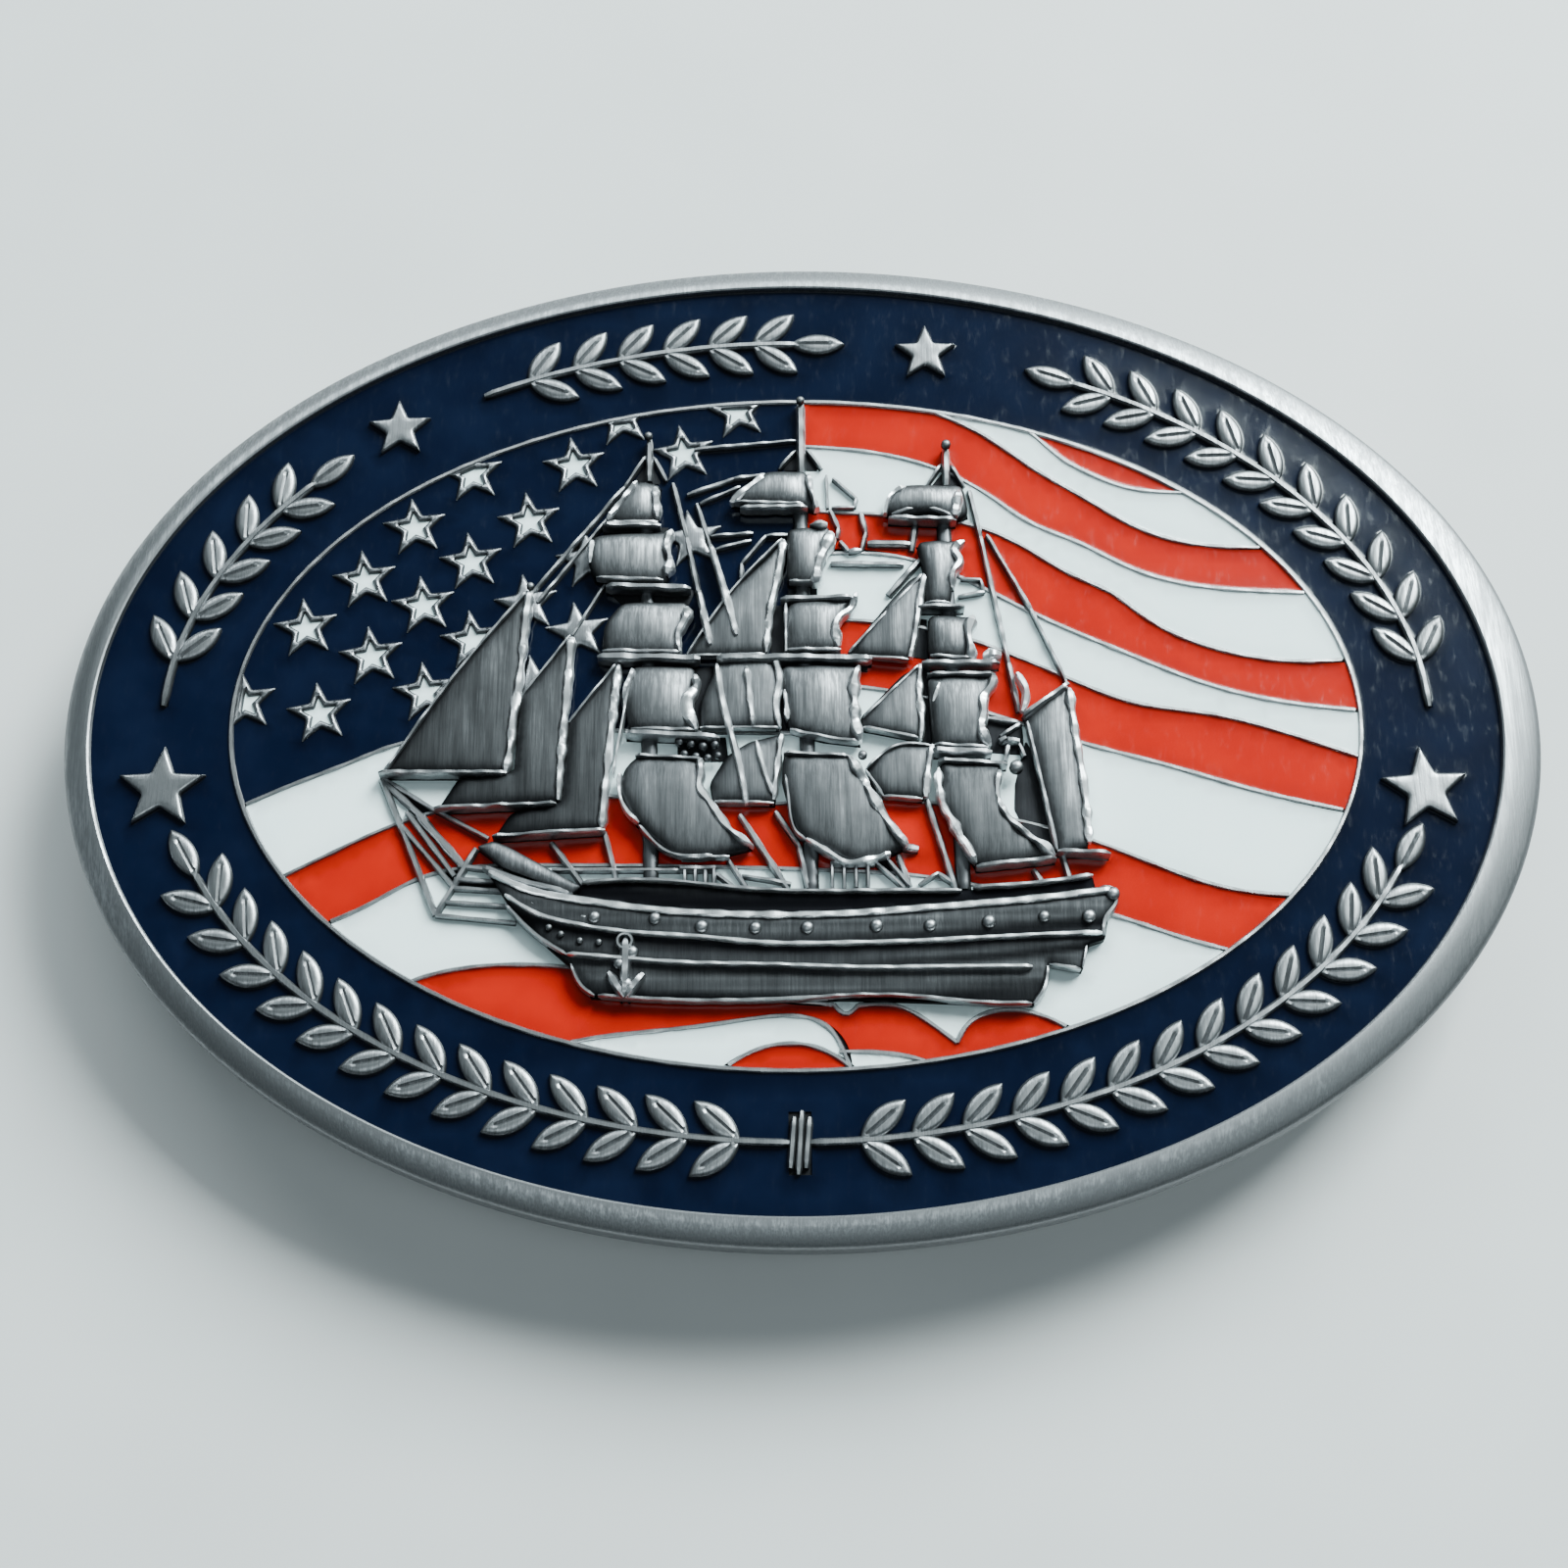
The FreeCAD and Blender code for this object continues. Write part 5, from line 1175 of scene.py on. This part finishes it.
def build_hull():
    """Hull, bowsprit, wales and the round bosses and deadeyes."""
    heap = Heap()
    relief(heap, [closed_loop(HULL, 0.22, 0.12)], ROOT_Z, hull_top, 0.24, (0.07, 0.17), shade=hull_patina_and_shade)
    heap.piece("hull", HULL_METAL)
    bow = Heap()
    relief(bow, [closed_loop(BOWSPRIT, 0.2, 0.2)], ROOT_Z, casting_top(ENAMEL_Z + 1.05, 0.2), 0.25, (0.07, 0.17))
    bow.piece("bowsprit", SAIL_METAL)
    raised("wales", WALES, ENAMEL_Z + 0.5, ENAMEL_Z + 1.26, RUBBED_AND_HIGHLIGHT_METAL)
    raised("hull_edges", HULL_EDGES, ENAMEL_Z + 0.2, ENAMEL_Z + 0.95, ROPE_METAL)
    dome = dome_shape()
    for name, places, height, metal in (("bosses", HULL_BOSSES, 0.98, BOSS_METAL),
                                        ("deadeyes", DEADEYES, 0.75, DARK_METAL)):
        spots = [(x + DESIGN_X, y, ENAMEL_Z + height, 0.0, radius) for x, y, radius in places]
        repeated(name, dome, spots, metal)


def build_sails():
    """Sails as full reliefs, then their turned edges and ropes."""
    square = (0.5, ENAMEL_Z + 0.85, 0.4, (-0.05, 0.08), 0.3)
    fore_and_aft = (0.3, ENAMEL_Z + 0.72, 0.16, (0.1, 0.0), 0.32)
    for name, group, metal, (corner, high, fullness, tilt, spacing) in (
            ("square_sails_fore", SQUARE_SAILS[:5], SAIL_METAL, square),
            ("square_sails_main", SQUARE_SAILS[5:10], SAIL_METAL, square),
            ("square_sails_mizzen", SQUARE_SAILS[10:], SAIL_METAL, square),
            ("jibs", JIBS_AND_STAYSAILS[:3], JIB_METAL, fore_and_aft),
            ("staysails", JIBS_AND_STAYSAILS[3:], SAIL_METAL, fore_and_aft)):
        heap = Heap()
        for outline in group:
            loop = closed_loop(outline, 0.22, corner)
            relief(heap, [loop], ROOT_Z, sail_top(high, fullness, tilt), spacing, shade=sail_patina_and_shade)
        heap.piece(name, metal)
    raised("sail_lips", SAIL_LIPS, ENAMEL_Z + 0.4, ENAMEL_Z + 1.24, RUBBED_AND_HIGHLIGHT_METAL, 0.9, broad=1.3)
    raised("sail_feet", SAIL_FEET, ENAMEL_Z + 0.4, ENAMEL_Z + 1.1, ROPE_METAL, 0.4)
    raised("leech_ropes", JIB_LEECHES, ENAMEL_Z + 0.4, ENAMEL_Z + 1.0, RUBBED_AND_HIGHLIGHT_METAL, 0.6, broad=1.2)
    raised("jib_edges", JIB_EDGES, ENAMEL_Z + 0.3, ENAMEL_Z + 0.86, ROPE_METAL, 0.3)


def build_bare_and_shadow_cells():
    """Small dark floors between sails and spars: bare patina and painted shadow."""
    heap = Heap()
    for outline in BARE_AND_SHADOW_CELLS:
        relief(heap, [closed_loop(outline, 0.25, 0.1)], ROOT_Z, casting_top(ENAMEL_Z + 0.09, 0.05), 0.5, (0.08,))
    heap.piece("bare_cells", PATINA)


def build_rigging():
    """Masts, yards, stays and other straight parts, and the anchor."""
    for name, lines, low, rise, metal, wobble, taper in (
            ("mast_tops", MASTS[:3], SPAR_ROOT_Z, 0.75, ROPE_METAL, 0.15, 0.8),
            ("masts", MASTS[3:], SPAR_ROOT_Z, 0.5, DARK_METAL, 0.15, 0.8),
            ("mast_heads", TOP_LEGS, SPAR_ROOT_Z, 0.45, ROPE_METAL, 0.3, 0.55),
            ("stays", STAYS, SPAR_ROOT_Z, 0.42, ROPE_METAL, 0.3, 0.8),
            ("yards", YARDS, ENAMEL_Z + 0.2, 1.2, ROPE_METAL, 0.3, 0.55),
            ("bow_rigging", BOW_LINES, SPAR_ROOT_Z, 0.4, ROPE_METAL, 0.25, 0.9),
            ("sheets", SHEETS, SPAR_ROOT_Z, 0.5, ROPE_METAL, 0.3, 0.8),
            ("pin_rails", PIN_RAILS, SPAR_ROOT_Z, 0.8, ROPE_METAL, 0.3, 0.9)):
        legs = [([(x0, y0), (x1, y1)], width) for x0, y0, x1, y1, width in lines]
        raised(name, legs, low, ENAMEL_Z + rise, metal, wobble, taper)
    raised("front_ropes", FRONT_ROPES, ENAMEL_Z + 0.4, ENAMEL_Z + 1.15, RUBBED_AND_HIGHLIGHT_METAL, 0.4)
    anchor = Heap()
    for x0, y0, x1, y1, width in ANCHOR:
        bead(anchor, straight_path([(x0, y0), (x1, y1)], 0.2), width, ENAMEL_Z + 0.2, ENAMEL_Z + 1.3, 0.6, 0.4)
    bead(anchor, ellipse_loop(0.42, 0.42, 20, -10.0) + np.array([0, -14.3]), 0.25, ENAMEL_Z + 0.4, ENAMEL_Z + 1.3,
         wobble=0.2, closed=True)
    anchor.piece("anchor", ROPE_METAL)


# ---------------------------------------------------------------- back fittings
HINGE_X = (lug_low.x + lug_high.x) / 2
LUG_HALF_X = (lug_high.x - lug_low.x) / 2
LUG_HALF_Y = (lug_high.y - lug_low.y) / 2
LUG_MIDDLE_Y = (lug_high.y + lug_low.y) / 2
PIVOT_Z = 2.2
PIVOT_GAP = 0.05
WIRE_R = 1.1
BAIL_LENGTH = 15.0
BAIL_HALF = 20.4
PIVOT_BEND = 1.6
BAR_BEND = 3.4
PIN_END_Y = 13.2
STUD_X = (stud_low.x + stud_high.x) / 2
FOOT_R = (stud_high.x - stud_low.x) / 2
FOOT_THICK = 0.7
STUD_R = 1.9
STUD_ROUND = 0.6


def lathe(heap, profile, x, y, count=56):
    """Solid of revolution about a line along Z; the profile runs from the axis round to the axis."""
    inner = profile[1:-1]
    points = [(x + r * math.cos(t), y + r * math.sin(t), z)
              for r, z in inner for t in np.linspace(0, 2 * math.pi, count, endpoint=False)]
    faces = bands(len(inner), count, turned=True)
    points += [(x, y, profile[0][1]), (x, y, profile[-1][1])]
    last = (len(inner) - 1) * count
    for i in range(count):
        n = (i + 1) % count
        faces.append((len(points) - 2, n, i))
        faces.append((len(points) - 1, last + i, last + n))
    heap.add(points, faces)


def build_stud():
    """Turned stud with a rounded tip and a soldered foot."""
    heap = Heap()
    foot_low = PANEL_Z - FOOT_THICK
    profile = [(0, 0)]
    profile += [(STUD_R - STUD_ROUND, 0)]
    profile += [(STUD_R - STUD_ROUND + STUD_ROUND * math.sin(t), STUD_ROUND - STUD_ROUND * math.cos(t))
                for t in np.linspace(0.25, math.pi / 2, 7)]
    profile += [(STUD_R, foot_low - 0.7), (STUD_R + 0.12, foot_low - 0.3), (STUD_R + 0.4, foot_low - 0.03)]
    profile += [(FOOT_R - 0.25, foot_low), (FOOT_R - 0.05, foot_low + 0.1), (FOOT_R, foot_low + 0.25)]
    profile += [(FOOT_R, PANEL_Z + 0.02), (0, PANEL_Z + 0.02)]
    lathe(heap, profile, STUD_X, 0)
    heap.piece("belt_stud_turned", STUD_METAL, "stud_metal", replaces=("belt_stud",))


def build_lug(side, node):
    """Cast lug: rounded lower corners, soft edges on both cheeks, and the pivot hole through it."""
    top = PANEL_Z + 0.02
    outline = closed_loop([(-LUG_HALF_X, top), (-LUG_HALF_X, 0), (LUG_HALF_X, 0), (LUG_HALF_X, top)], 0.18, 1.2)
    outline = outline[(outline[:, 1] < top - 1e-6) | (np.abs(outline[:, 0]) > LUG_HALF_X * 0.6)]
    hole = ellipse_loop(WIRE_R + PIVOT_GAP, WIRE_R + PIVOT_GAP, 40) + np.array([0, PIVOT_Z])
    flat, faces, shore = fill([outline, hole[::-1]], 0.3, (0.08, 0.2))
    gap, _ = shore.measure(flat)
    inset = 0.16 * np.exp(-gap / 0.12)
    middle = side * LUG_MIDDLE_Y
    count = len(flat)
    near = [(HINGE_X + u, middle - LUG_HALF_Y + s, v) for (u, v), s in zip(flat, inset)]
    far = [(HINGE_X + u, middle + LUG_HALF_Y - s, v) for (u, v), s in zip(flat, inset)]
    walls = [(b, a, a + count, b + count) for a, b in rim_edges(faces)]
    shell = list(faces) + [tuple(i + count for i in f[::-1]) for f in faces] + walls
    make_piece(node + "_cast", near + far, shell, LUG_METAL, "lug_metal", replaces=(node,))


def build_bail():
    """Drawn wire bent to a loop, let down until its bar lies on the table."""
    bar_x = HINGE_X + BAIL_LENGTH

    def turn_round(x, y, start, end, radius, steps):
        return [(x + radius * math.cos(math.radians(t)), y + radius * math.sin(math.radians(t)))
                for t in np.linspace(start, end, steps)]
    path = [(HINGE_X, y) for y in np.linspace(PIN_END_Y, BAIL_HALF - PIVOT_BEND, 8)]
    path += turn_round(HINGE_X + PIVOT_BEND, BAIL_HALF - PIVOT_BEND, 180, 90, PIVOT_BEND, 12)[1:]
    path += turn_round(bar_x - BAR_BEND, BAIL_HALF - BAR_BEND, 90, 0, BAR_BEND, 18)
    path += [(x, -y) for x, y in path[::-1]]
    path = np.array(path)
    ahead = np.gradient(path, axis=0)
    ahead /= np.hypot(*ahead.T)[:, None]
    droop = math.asin((PIVOT_Z - WIRE_R) / BAIL_LENGTH)
    points = []
    steps = 32

    def place(x, y, z):
        along, up = x - HINGE_X, z - PIVOT_Z
        return (HINGE_X + along * math.cos(droop) + up * math.sin(droop), y,
                PIVOT_Z + up * math.cos(droop) - along * math.sin(droop))
    rows = [(path[0] + ahead[0] * on, ahead[0], WIRE_R * share) for on, share in ((0.02, 0.8), (0.1, 0.94))]
    rows += [(p, a, WIRE_R) for p, a in zip(path[1:-1], ahead[1:-1])]
    rows += [(path[-1] - ahead[-1] * back, ahead[-1], WIRE_R * share) for back, share in ((0.1, 0.94), (0.02, 0.8))]
    for spot, way, radius in rows:
        for i in range(steps):
            t = 2 * math.pi * i / steps
            out = radius * math.cos(t)
            points.append(place(spot[0] - way[1] * out, spot[1] + way[0] * out, PIVOT_Z + radius * math.sin(t)))
    faces = [tuple(range(steps))[::-1], tuple((len(rows) - 1) * steps + i for i in range(steps))]
    faces += bands(len(rows), steps, turned=True)
    make_piece("bail_loop_wire", points, faces, WIRE_METAL, "bail_wire", body="bail", replaces=("bail",))


# ---------------------------------------------------------------- the room
TABLE_HALF = 0.6                                # metres
LENS = 51.83                                    # mm, as the sensor
SENSOR = 36.0
CAMERA_PLACE = (-1.664, -52.090, 132.993)       # mm
CAMERA_TURN = (20.847, -0.087, -0.354)          # degrees
# Lights that look at the plate: name, place and size in metres, power, colour.
LIGHTS = [
    ("window", (0.37, 0.46, 0.47), (0.34, 0.40), 19.4, (0.86, 1.0, 1.0)),
    ("high_back", (-0.05, 0.66, 0.50), (0.9, 0.3), 6.5, (0.82, 0.97, 1.0)),
    ("overhead_front", (0.05, -0.20, 0.58), (0.7, 0.22), 1.1, (0.82, 0.97, 1.0)),
    ("left_fill", (-0.55, 0.05, 0.34), (0.3, 0.5), 0.2, (0.8, 0.95, 1.0)),
]


def build_floor():
    """Plain pale table."""
    mesh = bpy.data.meshes.new("table_top")
    corners = [(x * TABLE_HALF, y * TABLE_HALF, 0) for x, y in ((-1, -1), (1, -1), (1, 1), (-1, 1))]
    mesh.from_pydata(corners, [], [(0, 1, 2, 3)])
    paint = Mix("pale_table")
    paint.join(paint.ramp(paint.noise(60.0, 2.0), [(0.3, (0.6, 0.6, 0.6)), (0.7, (0.64, 0.64, 0.64))]),
               paint.shader.inputs["Base Color"])
    paint.shader.inputs["Roughness"].default_value = 0.7
    mesh.materials.append(paint.material)
    floor = put("table_top", mesh)


def area_light(name, place, size, power, colour):
    """One rectangular light turned toward the plate."""
    data = bpy.data.lights.new(name, "AREA")
    data.shape = "RECTANGLE"
    data.size, data.size_y = size
    data.energy = power
    data.color = colour
    light = put(name, data)
    light.location = place
    light.rotation_euler = (-Vector(place)).to_track_quat("-Z", "Y").to_euler()


def build_light():
    """Faint room light and four soft lights."""
    world = bpy.data.worlds.new("room")
    bpy.context.scene.world = world
    world.use_nodes = True
    back = world.node_tree.nodes["Background"]
    back.inputs["Color"].default_value = (0.70, 0.90, 1.0, 1)
    back.inputs["Strength"].default_value = 0.08
    for row in LIGHTS:
        area_light(*row)


def build_camera():
    """Camera above and in front of the plate."""
    data = bpy.data.cameras.new("camera")
    data.lens = LENS
    data.sensor_width = SENSOR
    data.clip_start = 0.01
    camera = put("camera", data)
    camera.location = [c * MM for c in CAMERA_PLACE]
    camera.rotation_euler = Euler([math.radians(a) for a in CAMERA_TURN], "XYZ")
    bpy.context.scene.camera = camera


build_rim()
build_field()
build_flag_stars()
build_border_stars()
build_garland()
build_enamel("border_enamel", NAVY, "navy_enamel", 1.1)
build_enamel("canton_enamel", NAVY, "navy_enamel", 0.9)
build_enamel("star_enamel", WHITE, "white_enamel", 0.3)
for stripe in range(1, 8):
    build_enamel(f"red_stripe_{stripe}", RED, "red_enamel", 0.7)
    build_enamel(f"white_stripe_{stripe}", WHITE, "white_enamel", 0.7)
build_hull()
build_bare_and_shadow_cells()
build_sails()
build_rigging()
build_stud()
build_lug(1, "hinge_lug_upper")
build_lug(-1, "hinge_lug_lower")
build_bail()
build_floor()
build_light()
build_camera()

bpy.context.view_layer.update()
